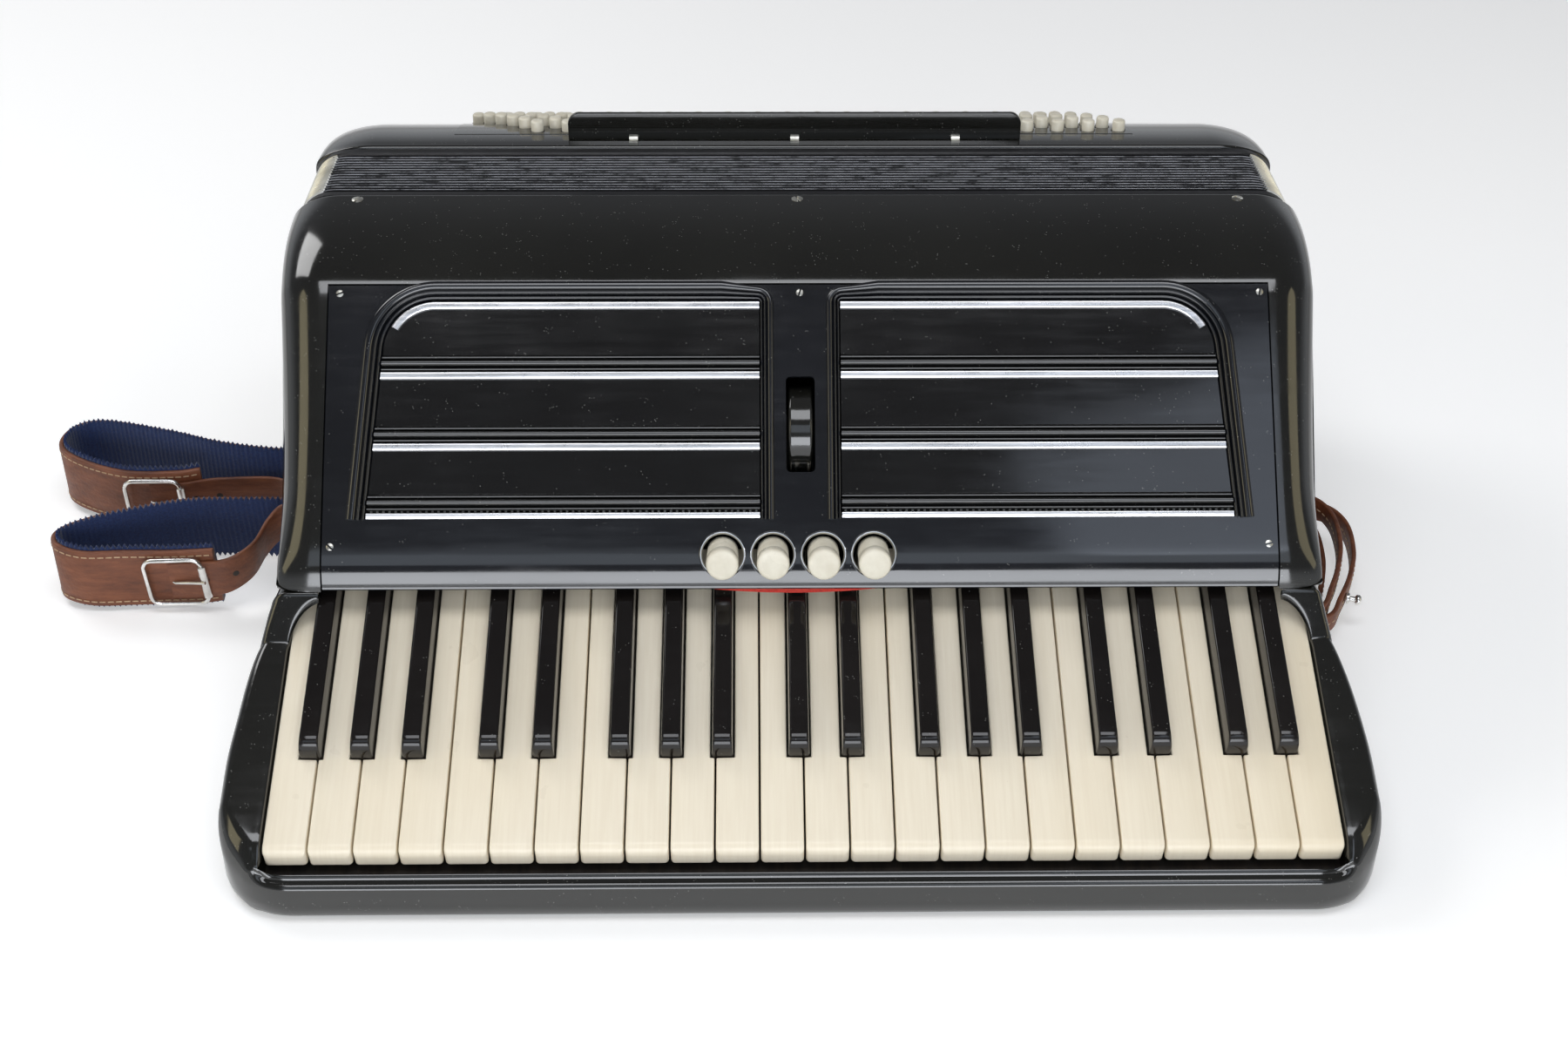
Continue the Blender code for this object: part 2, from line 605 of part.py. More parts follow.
def grille_panel(parts, cutters):
    """The louvred panel: stepped rims round two windows, bars and leaning slats in them."""
    outer = panel_outline()
    inner = panel_outline(PANEL_THICKNESS)
    up, _ = panel_frame()
    outer[-1] = tuple(Vector(outer[-1]) - up * GAP)
    inner[-1] = tuple(Vector(inner[-1]) - up * GAP)
    mesh = prism_across("grille_panel", outer + inner[::-1], -PANEL_HALF_WIDTH, PANEL_HALF_WIDTH)
    panel = new_object("grille_panel", mesh, celluloid(), parts)
    for side, label in ((-1, "left"), (1, "right")):
        for step in range(RIM_STEPS):
            grow = (RIM_STEPS - step) * RIM_STEP_WIDTH
            rise = (step + 1) * RIM_STEP_RISE
            rim = panel_prism("rim", window_outline(side, grow), rise, PANEL_THICKNESS / (2 + step))
            boolean(panel, guide(f"rim_{label}_{step}", rim, cutters), "UNION", cutters)
        window = panel_prism("window", window_outline(side), CUT_REACH, CUT_REACH)
        boolean(panel, guide(f"window_{label}", window, cutters), "DIFFERENCE", cutters)
        seat = panel_prism("seat", window_outline(side, SLAT_SEAT), CUT_REACH, CUT_REACH)
        seat = guide(f"slat_seat_{label}", seat, cutters)
        for n in range(SLAT_COUNT):
            low = WINDOW_LOW + n * slat_pitch()
            slat = guide(f"slat_{label}_{n}", slat_mesh(side, low), cutters)
            boolean(slat, seat, "INTERSECT", cutters)
            boolean(panel, slat, "UNION", cutters)
            bar = guide(f"bar_{label}_{n}", bar_mesh(side, low), cutters)
            boolean(bar, seat, "INTERSECT", cutters)
            boolean(panel, bar, "UNION", cutters)
    half, low = WHEEL_WIDTH / 2 + WHEEL_SIDE_CLEARANCE, WHEEL_UP_PANEL - WHEEL_SLOT_LENGTH / 2
    slot = [(-half, low), (half, low), (half, low + WHEEL_SLOT_LENGTH), (-half, low + WHEEL_SLOT_LENGTH)]
    boolean(panel, guide("wheel_slot", panel_prism("wheel_slot", slot, CUT_REACH, CUT_REACH), cutters),
            "DIFFERENCE", cutters)
    for n in range(BUTTON_COUNT):
        ring = cylinder_mesh("ring", RING_RADIUS, RING_DEPTH + RING_OUT, 20, RING_ROUND)
        ring.transform(button_matrix(n, -RING_DEPTH))
        boolean(panel, guide(f"ring_{n + 1}", ring, cutters), "UNION", cutters)
    for n in range(BUTTON_COUNT):
        hole = cylinder_mesh("hole", BUTTON_RADIUS + BUTTON_CLEARANCE, BUTTON_HOLE_DEPTH + CUT_REACH, 16)
        hole.transform(button_matrix(n, -BUTTON_HOLE_DEPTH))
        boolean(panel, guide(f"hole_{n + 1}", hole, cutters), "DIFFERENCE", cutters)
    return panel


def slat_pitch():
    return (WINDOW_HIGH - WINDOW_LOW) / SLAT_COUNT


def slat_mesh(side, low):
    """One louvre: a leaning board with a rolled lower lip, longer than its window is wide."""
    base, top = low + SLAT_OPENING, low + slat_pitch() + SLAT_SEAT
    lip = SLAT_LIP
    section = [(base, lip / 4), (base + lip, -lip), (base + 2 * lip, -lip / 4), (top, SLAT_LEAN),
               (top, SLAT_LEAN + SLAT_THICKNESS), (base, lip / 4 + SLAT_THICKNESS)]
    ends = (WINDOW_INNER - 2 * SLAT_SEAT, WINDOW_OUTER + CUT_REACH)
    return loft("slat", [[on_panel(side * x, v, d) for v, d in section] for x in ends])


def bar_mesh(side, low):
    """The flat bar under a louvre's opening, longer than its window is wide."""
    outline = [(side * x, v) for x, v in ((WINDOW_INNER - 2 * SLAT_SEAT, low - BAR_HEIGHT / 2),
                                          (WINDOW_OUTER + CUT_REACH, low - BAR_HEIGHT / 2),
                                          (WINDOW_OUTER + CUT_REACH, low + BAR_HEIGHT / 2),
                                          (WINDOW_INNER - 2 * SLAT_SEAT, low + BAR_HEIGHT / 2))]
    return panel_prism("bar", outline, SLAT_LIP / 2, BAR_THICKNESS)


def button_matrix(number, out):
    """Places a register button's part on its axis, at a distance out from the lip."""
    direction = Vector((0, -cos(BUTTON_TILT), sin(BUTTON_TILT)))
    foot = Vector((BUTTON_FIRST_X + number * BUTTON_PITCH, PANEL_HEEL[0] - BUTTON_SETBACK, BUTTON_HEIGHT))
    return Matrix.Translation(foot + direction * out) @ aim(direction)


def register_buttons(parts):
    for n in range(BUTTON_COUNT):
        mesh = cylinder_mesh("register_button", BUTTON_RADIUS, BUTTON_LENGTH, 16, BUTTON_EDGE_ROUND)
        button = new_object(f"register_button_{n + 1}", mesh, cream(), parts)
        button.matrix_world = button_matrix(n, BUTTON_OUT - BUTTON_LENGTH)
        shade(button)


def tone_wheel(parts):
    mesh = cylinder_mesh("tone_wheel", WHEEL_RADIUS, WHEEL_WIDTH, 28)
    mesh.transform(Matrix.Translation((0, 0, -WHEEL_WIDTH / 2)))
    wheel = new_object("tone_wheel", mesh, celluloid(), parts)
    centre = on_panel(0.0, WHEEL_UP_PANEL, WHEEL_RADIUS - WHEEL_OUT)
    wheel.matrix_world = Matrix.Translation(centre) @ Matrix.Rotation(pi / 2, 4, "Y")
    shade(wheel)


def round_rectangle(half, low, high, radius, steps):
    """Corner-rounded (x, z) outline, counter-clockwise."""
    points = []
    corners = ((half, high, 0), (-half, high, 90), (-half, low, 180), (half, low, 270))
    for x, z, start in corners:
        middle_x = x - radius if x > 0 else x + radius
        middle_z = z - radius if z == high else z + radius
        for k in range(steps + 1):
            turn = radians(start + 90 * k / steps)
            points.append((middle_x + radius * cos(turn), middle_z + radius * sin(turn)))
    return points


def bellows(parts):
    start, stop = BELLOWS_START, BASS_START

    def ring(y, sink):
        inset = sink + BELLOWS_SETBACK
        shape = round_rectangle(CASE_HALF_WIDTH - inset, inset, CASE_TOP_HEIGHT - inset,
                                BELLOWS_CORNER - sink / 2, 2)
        return [(x, y, z) for x, z in shape]

    rings = [ring(start, 0.0), ring(start + BELLOWS_FRAME, 0.0)]
    span = stop - start - 2 * BELLOWS_FRAME
    for k in range(1, 2 * FOLD_COUNT):
        sink = FOLD_DEPTH if k % 2 else FOLD_CREST
        rings.append(ring(start + BELLOWS_FRAME + span * k / (2 * FOLD_COUNT), sink))
    rings += [ring(stop - BELLOWS_FRAME, 0.0), ring(stop, 0.0)]
    return new_object("bellows", loft("bellows", rings), black_cloth(), parts)


def bass_height(y):
    """Height of the bass casing's crowned top at a distance past its lip."""
    return CASE_TOP_HEIGHT - BASS_FALL * ((y - BASS_START) / (BASS_LENGTH - BASS_END_ROUND)) ** 2


def bass_casing(parts, cutters):
    front, shoulder = BASS_START + GAP, BASS_END - BASS_END_ROUND
    count = 7
    stations = [front + (shoulder - front) * k / count for k in range(count)]
    end = quarter((shoulder, bass_height(shoulder) - BASS_END_DROP), (BASS_END_ROUND, BASS_END_DROP), 90, 4)
    heel = quarter((BASS_END - BASS_HEEL_ROUND, BASS_HEEL_ROUND), (BASS_HEEL_ROUND,) * 2, 0, 2)
    outline = [(front, 0.0)] + [(y, bass_height(y)) for y in stations] + end + heel
    mesh = rounded_across("bass_casing", outline, CASE_HALF_WIDTH, BASS_ROUND, BASS_ROUND_DROP, {0, 1}, 5)
    casing = new_object("bass_casing", mesh, celluloid(), parts)
    low_x, high_x, low_y, high_y = board_limits()
    recess = board_mesh("board_recess", low_x - GAP, high_x + GAP, low_y - GAP, high_y + GAP,
                        -BOARD_THICKNESS - GAP, CUT_REACH)
    boolean(casing, guide("board_recess", recess, cutters), "DIFFERENCE", cutters)
    bore = AIR_LENGTH + AIR_TRAVEL_SPACE + CUT_REACH
    hole = cylinder_mesh("air_hole", AIR_RADIUS + AIR_CLEARANCE, bore, 16)
    hole.transform(air_matrix(-AIR_TRAVEL_SPACE))
    boolean(casing, guide("air_hole", hole, cutters), "DIFFERENCE", cutters)
    return casing


def air_matrix(out):
    """Places the air button's parts on its axis, at a distance out from the button's inner end."""
    past_strap = -HAND_STRAP_SPAN / 2 - AIR_PAST_STRAP
    place = (past_strap, BASS_END + AIR_OUT - AIR_LENGTH + out, AIR_HEIGHT)
    return Matrix.Translation(place) @ aim((0, 1, 0))


def board_limits():
    width = (BUTTONS_PER_ROW - 1) * COLUMN_STEP + (BUTTON_ROWS - 1) * ROW_SHIFT
    low_y = BASS_START + BOARD_START
    return (-width / 2 - BOARD_MARGIN, width / 2 + BOARD_MARGIN, low_y,
            low_y + (BUTTON_ROWS - 1) * ROW_STEP + 2 * BOARD_MARGIN)


def board_mesh(name, low_x, high_x, low_y, high_y, under, over):
    """A patch of the crowned top between two offsets from it."""
    steps = 6
    ys = [low_y + (high_y - low_y) * k / steps for k in range(steps + 1)]
    section = [(y, bass_height(y) + under) for y in ys] + [(y, bass_height(y) + over) for y in reversed(ys)]
    return prism_across(name, section, low_x, high_x)


def bass_buttons(parts, cutters):
    """The 120 bass buttons, in rows that shift sideways, joined to their board."""
    low_x, high_x, low_y, high_y = board_limits()
    board = new_object("bass_button_board", board_mesh("board", low_x, high_x, low_y, high_y,
                                                       -BOARD_THICKNESS, 0.0), celluloid(), parts)
    length = BASS_BUTTON_RISE + BASS_BUTTON_ROOT
    bm = bmesh.new()
    for row in range(BUTTON_ROWS):
        y = low_y + BOARD_MARGIN + row * ROW_STEP
        first = high_x - BOARD_MARGIN - row * ROW_SHIFT - (BUTTONS_PER_ROW - 1) * COLUMN_STEP
        for column in range(BUTTONS_PER_ROW):
            place = (first + column * COLUMN_STEP, y, bass_height(y) - BASS_BUTTON_ROOT)
            peg = cylinder_mesh("peg", BASS_BUTTON_RADIUS, length, 6, BASS_BUTTON_ROUND)
            peg.transform(Matrix.Translation(place))
            bm.from_mesh(peg)
            bpy.data.meshes.remove(peg)
    boolean(board, guide("pegs", mesh_from(bm, "pegs"), cutters), "UNION", cutters)


def bass_guard(parts, cutters):
    """A stiff strip that stands ahead of the bass buttons, held by three clips."""
    y = BASS_START + GUARD_SETBACK
    base, half = bass_height(y - GUARD_THICKNESS) + GAP, GUARD_LENGTH / 2
    top = base + GUARD_HEIGHT - GUARD_CORNER
    outline = [(half, base), (-half, base)]
    outline += quarter((GUARD_CORNER - half, top), (GUARD_CORNER,) * 2, 180, 3)
    outline += quarter((half - GUARD_CORNER, top), (GUARD_CORNER,) * 2, 90, 3)
    rings = [[(x, y + d, z) for x, z in outline] for d in (-GUARD_THICKNESS / 2, GUARD_THICKNESS / 2)]
    guard = new_object("bass_guard", loft("bass_guard", rings), celluloid(), parts)
    for n in (-1, 0, 1):
        low_x, reach = n * CLIP_SPACING - CLIP_WIDTH / 2, GUARD_THICKNESS / 2 + CLIP_REACH
        section = [(y - reach, base), (y, base), (y, base + CLIP_HEIGHT),
                   (y - GUARD_THICKNESS, base + CLIP_HEIGHT)]
        clip = prism_across("clip", section, low_x, low_x + CLIP_WIDTH)
        boolean(guard, guide(f"clip_{n + 2}", clip, cutters), "UNION", cutters)
    return guard


def hand_strap(parts):
    """A leather band arched over the hand's space on the bass end."""
    half, face = HAND_STRAP_SPAN / 2, BASS_END + GAP
    count = 16
    rings = []
    for k in range(count + 1):
        share = -1 + 2 * k / count
        x = half * share
        y = face + HAND_STRAP_BULGE * (1 - share ** 4) if abs(share) < 1 else face
        low, high = HAND_STRAP_HEIGHT - HAND_STRAP_WIDTH / 2, HAND_STRAP_HEIGHT + HAND_STRAP_WIDTH / 2
        thick = HAND_STRAP_THICKNESS
        rings.append([(x, y, low), (x, y, high), (x, y + thick, high), (x, y + thick, low)])
    return new_object("hand_strap", loft("hand_strap", rings), leather(), parts)


def strap_knob(parts):
    mesh = cylinder_mesh("strap_knob", KNOB_RADIUS, KNOB_LENGTH, 20, METAL_EDGE_ROUND)
    knob = new_object("strap_knob", mesh, bright_metal(), parts)
    place = (-CASE_HALF_WIDTH - GAP, BASS_END - KNOB_SETBACK, HAND_STRAP_HEIGHT)
    knob.matrix_world = Matrix.Translation(place) @ aim((-1, 0, 0))
    shade(knob)


def air_button(parts):
    mesh = cylinder_mesh("air_button", AIR_RADIUS, AIR_LENGTH, 16, METAL_EDGE_ROUND)
    button = new_object("air_button", mesh, bright_metal(), parts)
    button.matrix_world = air_matrix(0.0)
    shade(button)


def smooth_route(route, steps):
    """Points and tilts along a smooth curve through a route's own points."""
    points = []
    last = len(route) - 1
    for k in range(steps + 1):
        place = last * k / steps
        i = min(int(place), last - 1)
        t = place - i
        a, b = Vector(route[max(i - 1, 0)]), Vector(route[i])
        c, d = Vector(route[i + 1]), Vector(route[min(i + 2, last)])
        points.append(0.5 * ((2 * b) + (c - a) * t + (2 * a - 5 * b + 4 * c - d) * t ** 2
                             + (3 * b - a - 3 * c + d) * t ** 3))
    return points


def strap(name, route, side, width, thickness, parts):
    """A band that follows its route beside the casing, tilted by degrees from flat."""
    route = [(side * (CASE_HALF_WIDTH + out), BELLOWS_START + past, z, tilt) for out, past, z, tilt in route]
    points = smooth_route([Vector(p) for p in route], STRAP_STEPS)
    rings = []
    for i, point in enumerate(points):
        centre = point.xyz
        ahead = points[min(i + 1, len(points) - 1)].xyz - points[max(i - 1, 0)].xyz
        ahead.z = 0.0
        ahead.normalize()
        level = Vector((-ahead.y, ahead.x, 0))
        tilt = radians(point.w)
        across = level * cos(tilt) + Vector((0, 0, 1)) * sin(tilt)
        face = level * -sin(tilt) + Vector((0, 0, 1)) * cos(tilt)
        half_w, half_t = across * width / 2, face * thickness / 2
        rings.append([centre - half_w - half_t, centre + half_w - half_t,
                      centre + half_w + half_t, centre - half_w + half_t])
    return new_object(name, loft(name, rings), leather(), parts)


def build():
    clear_scene()
    parts = collection("accordion")
    cutters = collection("cutters")
    notch = axle_cutter(cutters)
    white_keys(parts, cutters, notch)
    black_keys(parts, cutters, notch)
    key_axle(parts)
    keyboard_frame(parts, cutters)
    treble_casing(parts, cutters)
    grille_panel(parts, cutters)
    register_buttons(parts)
    tone_wheel(parts)
    bellows(parts)
    bass_casing(parts, cutters)
    bass_buttons(parts, cutters)
    bass_guard(parts, cutters)
    hand_strap(parts)
    strap_knob(parts)
    air_button(parts)
    strap("shoulder_strap_upper", UPPER_STRAP_ROUTE, -1, STRAP_WIDTH, STRAP_THICKNESS, parts)
    strap("shoulder_strap_lower", LOWER_STRAP_ROUTE, -1, STRAP_WIDTH, STRAP_THICKNESS, parts)
    strap("shoulder_strap_ends", LOWER_END_ROUTE, 1, LOWER_END_WIDTH, LOWER_END_THICKNESS, parts)


build()
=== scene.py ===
"""The accordion's finish: black celluloid, ivory keys, bright trim, pleated bellows and lined leather straps."""

from math import asin, atan2, cos, hypot, pi, radians, sin, sqrt

import bmesh
import bpy
import numpy as np
from mathutils import Matrix, Vector

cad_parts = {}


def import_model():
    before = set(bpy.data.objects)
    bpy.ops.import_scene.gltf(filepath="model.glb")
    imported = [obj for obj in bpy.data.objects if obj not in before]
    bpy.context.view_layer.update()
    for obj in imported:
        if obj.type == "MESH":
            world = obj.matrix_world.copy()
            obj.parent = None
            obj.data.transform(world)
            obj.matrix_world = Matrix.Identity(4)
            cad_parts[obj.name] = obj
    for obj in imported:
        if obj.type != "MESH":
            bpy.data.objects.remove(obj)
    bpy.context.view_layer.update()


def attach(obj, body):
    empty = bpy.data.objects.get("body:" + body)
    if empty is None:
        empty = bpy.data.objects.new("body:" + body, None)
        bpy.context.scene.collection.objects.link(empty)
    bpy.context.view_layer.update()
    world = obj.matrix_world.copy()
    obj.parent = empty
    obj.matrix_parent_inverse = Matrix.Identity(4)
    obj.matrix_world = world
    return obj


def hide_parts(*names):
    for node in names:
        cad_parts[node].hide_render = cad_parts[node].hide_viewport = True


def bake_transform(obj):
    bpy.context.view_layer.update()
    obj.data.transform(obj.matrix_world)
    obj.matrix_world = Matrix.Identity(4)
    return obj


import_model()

CAMERA_PLACE = (-0.02116, -0.66589, 0.64112)
CAMERA_PITCH = radians(33.552)
CAMERA_YAW = radians(-0.959)
CAMERA_ROLL = radians(-0.323)
CAMERA_LENS = 47.757

GAP = 0.0003

# Keyboard
KEY_PITCH = 0.0195
WHITE_COUNT = 24
KEYBOARD_HALF = WHITE_COUNT * KEY_PITCH / 2
KEY_SLOPE = radians(22.05)
KEY_TOP_HEIGHT = 0.028
KEY_SIDE_GAP = 0.0009
KEY_THICKNESS = 0.009
KEY_TAIL_THICKNESS = 0.0050
KEY_TAIL = 0.138
KEY_NOSE = 0.0012
KEY_FRONT = 0.0020
KEY_LENGTH = 0.158
KEY_ROLL = 0.0044
KEY_CORNER = 0.0020
KEY_EDGE = 0.0007
BLACK_START = 0.0475
BLACK_SLOT = 0.0054
BLACK_WIDTH = 0.0098
BLACK_TOP_WIDTH = 0.0084
BLACK_RISE = 0.0102
BLACK_NOSE_LENGTH = 0.0060
BLACK_NOSE_FOOT = 0.0030
BLACK_EDGE = 0.0011
BLACK_SHIFTS = (-0.00306, 0.0, 0.00306, None, -0.00207, 0.00207, None)
BED_DEPTH = 0.0152
CHEEK_NEAR = 0.2540
CHEEK_EDGE = ((0.0300, 0.2540), (0.0477, 0.2538), (0.0710, 0.2514), (0.0880, 0.2484), (0.0980, 0.2458),
              (0.1060, 0.2424), (0.1120, 0.2404), (0.1260, 0.2400))
CHEEK_RISE = 0.0022
CHEEK_CORNER = 0.033
WELL_HALF = 0.2344
COVER_START = 0.0940
COVER_REACH = 0.0178
COVER_LENGTH = 0.0150
RAIL_FRONT = -0.011
RAIL_BACK = -0.0030
RAIL_HEIGHT = 0.0215

# Casings
CASE_HALF = 0.2400
CASE_FLARE = 0.0079
REAR_HALF = 0.2462
CASE_FRONT = 0.126
CASE_TOP = 0.2125
CASE_BACK = 0.2717
CASE_ROUND = 0.018
CASE_DROP = 0.016
PANEL_HALF = 0.219
PANEL_FOOT = np.array([0.1103, 0.0893])
PANEL_HEEL = np.array([0.1180, 0.1045])
PANEL_CREST = np.array([0.2037, 0.1981])
PANEL_LENGTH = float(np.linalg.norm(PANEL_CREST - PANEL_HEEL))
PANEL_UP = (PANEL_CREST - PANEL_HEEL) / PANEL_LENGTH
PANEL_IN = np.array([PANEL_UP[1], -PANEL_UP[0]])
PANEL_THICKNESS = 0.003
POCKET_DEPTH = 0.044
POCKET_LENGTH = 0.100
BELLOWS_START = 0.272
BASS_START = 0.329
BASS_END = 0.430
BASS_FALL = 0.0277
BASS_END_ROUND = 0.012
BASS_END_DROP = 0.021
BASS_HEEL = 0.012
BASS_ROUND = 0.030
BASS_DROP = 0.0115

# Grille
WINDOW_INNER = 0.0188
WINDOW_OUTER = 0.199
WINDOW_LOW = 0.0180
WINDOW_HIGH = 0.1190
WINDOW_CORNER = 0.024
WINDOW_SLANT = 0.006
STRIP_CLIMBS = (0.0173, 0.0498, 0.0834, 0.1167)
LIP_CLIMBS = (0.0239, 0.0558, 0.0893)
STRIP_HEIGHT = 0.0036
BUTTON_LEAN = 16.0

# Air button
AIR_BUTTON_X = -0.192


# Shapes

def unit(vectors):
    """Vectors at length one, and at zero where they have no length."""
    size = np.linalg.norm(vectors, axis=-1, keepdims=True)
    return vectors / np.maximum(size, 1e-9)


def arc(centre, radii, start, stop, steps):
    """Points round part of an ellipse, from one angle to another in degrees."""
    turn = np.radians(np.linspace(start, stop, steps + 1))
    return np.stack([centre[0] + radii[0] * np.cos(turn), centre[1] + radii[1] * np.sin(turn)], -1)


def through(points, steps):
    """A curve through points: the cubic on each span whose end slopes are half the step between the neighbours."""
    points = np.asarray(points, float)
    padded = np.concatenate([points[:1], points, points[-1:]])
    span = np.repeat(np.arange(len(points) - 1), steps)
    t = np.tile(np.arange(steps) / steps, len(points) - 1)[:, None]
    a, b, c, d = (padded[span + k] for k in range(4))
    body = 0.5 * (2 * b + (c - a) * t + (2 * a - 5 * b + 4 * c - d) * t ** 2 + (3 * b - a - 3 * c + d) * t ** 3)
    return np.concatenate([body, points[-1:]])


def even(points, count):
    """A line's points respaced to equal distances along it."""
    length = np.concatenate([[0], np.cumsum(np.linalg.norm(np.diff(points, axis=0), axis=1))])
    places = np.linspace(0, length[-1], count)
    return np.stack([np.interp(places, length, points[:, k]) for k in range(points.shape[1])], -1)


def eased(points, passes):
    """A line whose inner points move halfway to their neighbours' mean, some number of times."""
    points = points.copy()
    for _ in range(passes):
        points[1:-1] += 0.5 * ((points[:-2] + points[2:]) / 2 - points[1:-1])
    return points


def step_between(value, low, high):
    """0 below low, 1 above high, and 3t² - 2t³ between them."""
    t = np.clip((np.asarray(value, float) - low) / (high - low), 0, 1)
    return t * t * (3 - 2 * t)


def inward(outline):
    """Unit steps into a closed outline, each the mean of its two edges' normals."""
    ahead = unit(np.roll(outline, -1, 0) - outline)
    behind = unit(outline - np.roll(outline, 1, 0))
    normal = unit(np.stack([-(ahead + behind)[:, 1], (ahead + behind)[:, 0]], -1))
    after = np.roll(outline, -1, 0)
    area = np.sum(outline[:, 0] * after[:, 1] - after[:, 0] * outline[:, 1])
    return normal * np.sign(area)


def outward_faces(points, faces):
    """The faces turned so that the volume they enclose, summed as tetrahedra from the origin, is positive."""
    total = 0.0
    for size in {len(face) for face in faces}:
        group = points[np.array([face for face in faces if len(face) == size])]
        total += np.sum(group[:, :1] * np.cross(group[:, 1:-1], group[:, 2:]))
    return faces if total > 0 else [face[::-1] for face in faces]


def skin(rows, wrap=True, ring=False):
    """A closed surface over a grid of points: columns close if wrap, rows close if ring, else the ends are capped."""
    count, width = rows.shape[:2]
    i, j = np.meshgrid(np.arange(count if ring else count - 1), np.arange(width if wrap else width - 1),
                       indexing="ij")
    below, after = (i + 1) % count, (j + 1) % width
    corners = [i * width + j, i * width + after, below * width + after, below * width + j]
    faces = np.stack(corners, -1).reshape(-1, 4).tolist()
    if wrap and not ring:
        faces += [list(range(width))[::-1], list(range((count - 1) * width, count * width))]
    points = rows.reshape(-1, 3)
    return points, outward_faces(points, faces)


def gather(shapes):
    """Several shapes as one set of points and faces."""
    points, faces, count = [], [], 0
    for some_points, some_faces in shapes:
        points.append(some_points)
        faces += [[k + count for k in face] for face in some_faces]
        count += len(some_points)
    return np.concatenate(points), faces


def copies(shape, places):
    """The shape at each of several 4 × 4 places."""
    points, faces = shape
    places = np.array([np.array(place) for place in places])
    moved = points @ places[:, :3, :3].transpose(0, 2, 1) + places[:, None, :3, 3]
    return gather([(some, faces) for some in moved])


def mirrored(shape):
    """The shape and its mirror image across x = 0."""
    points, faces = shape
    return gather([shape, (points * [-1, 1, 1], [face[::-1] for face in faces])])


def turned(profile, steps, wave=None):
    """A closed (radius, height) profile turned about Z; wave scales the radius at each angle."""
    turn = np.linspace(0, 2 * pi, steps, endpoint=False)
    profile = np.asarray(profile, float)
    swell = np.ones(steps) if wave is None else wave(turn)
    radius = profile[None, :, 0] * swell[:, None]
    rows = np.stack([radius * np.cos(turn)[:, None], radius * np.sin(turn)[:, None],
                     np.broadcast_to(profile[None, :, 1], radius.shape)], -1)
    return skin(rows, wrap=True, ring=True)


def solid_of_turning(profile, steps, wave=None):
    """A turned solid whose profile runs from the axis, out, and back to the axis."""
    turn = np.linspace(0, 2 * pi, steps, endpoint=False)
    profile = np.asarray(profile, float)
    swell = np.ones(steps) if wave is None else wave(turn)
    radius = profile[:, 0, None] * swell[None, :]
    rows = np.stack([radius * np.cos(turn), radius * np.sin(turn),
                     np.broadcast_to(profile[:, 1, None], radius.shape)], -1)
    return skin(rows)


def tube(path, radius, sides=8, closed=False):
    """A round section carried along a path: across is level with the path's turn, up is square to both."""
    ahead = np.roll(path, -1, 0) - np.roll(path, 1, 0)
    if not closed:
        ahead[0], ahead[-1] = path[1] - path[0], path[-1] - path[-2]
    ahead = unit(ahead)
    pole = np.array([0, 0, 1.0]) if abs(ahead[:, 2]).max() < 0.9 else np.array([0.31, 0.12, 0.94])
    across = unit(np.cross(ahead, pole))
    over = np.cross(across, ahead)
    turn = np.linspace(0, 2 * pi, sides, endpoint=False)
    rows = path[:, None] + radius * (across[:, None] * np.cos(turn)[None, :, None]
                                     + over[:, None] * np.sin(turn)[None, :, None])
    return skin(rows, ring=closed)


def slab(outline, half_thickness, edge, place, steps=3):
    """A flat plate with rounded edges: its outline drawn in by edge(1 - cos a) at heights that follow sin a.
    place turns (u, v, height) arrays into points."""
    turns = np.radians(np.linspace(0, 90, steps + 1))
    draw = np.concatenate([edge * (1 - np.cos(turns))[::-1], edge * (1 - np.cos(turns))])
    height = half_thickness - edge + edge * np.sin(turns)
    height = np.concatenate([-height[::-1], height])
    step = inward(outline)
    flat = outline[None] + step[None] * draw[:, None, None]
    return skin(place(flat[..., 0], flat[..., 1], np.broadcast_to(height[:, None], flat.shape[:2])))


def box_shape(low, high):
    """A plain block between two corners, for cutters and stitches."""
    low, high = np.array(low, float), np.array(high, float)
    square = np.array([[0, 0], [1, 0], [1, 1], [0, 1]])
    rows = np.stack([np.concatenate([square, np.full((4, 1), k)], 1) for k in (0, 1)])
    return skin(low + rows * (high - low))


def piece(name, body, finish, *shapes, stands_for=(), slot=None, sharp=38, crest=None):
    """Makes one named piece of the instrument that moves with a body."""
    points, faces = gather(shapes)
    mesh = bpy.data.meshes.new(name)
    mesh.from_pydata(points.tolist(), [], faces)
    if crest is not None:
        mesh.attributes.new("crest", "FLOAT", "POINT").data.foreach_set("value", crest.astype(np.float32))
    bm = bmesh.new()
    bm.from_mesh(mesh)
    bmesh.ops.remove_doubles(bm, verts=bm.verts, dist=2e-6)
    bm.to_mesh(mesh)
    bm.free()
    mesh.shade_smooth()
    mesh.set_sharp_from_angle(angle=radians(sharp))
    mesh.materials.append(finish)
    thing = bpy.data.objects.new(name, mesh)
    bpy.context.scene.collection.objects.link(thing)
    if body == "folds":
        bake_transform(thing)
    else:
        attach(thing, body)
    if stands_for:
        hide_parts(*stands_for)
    return thing


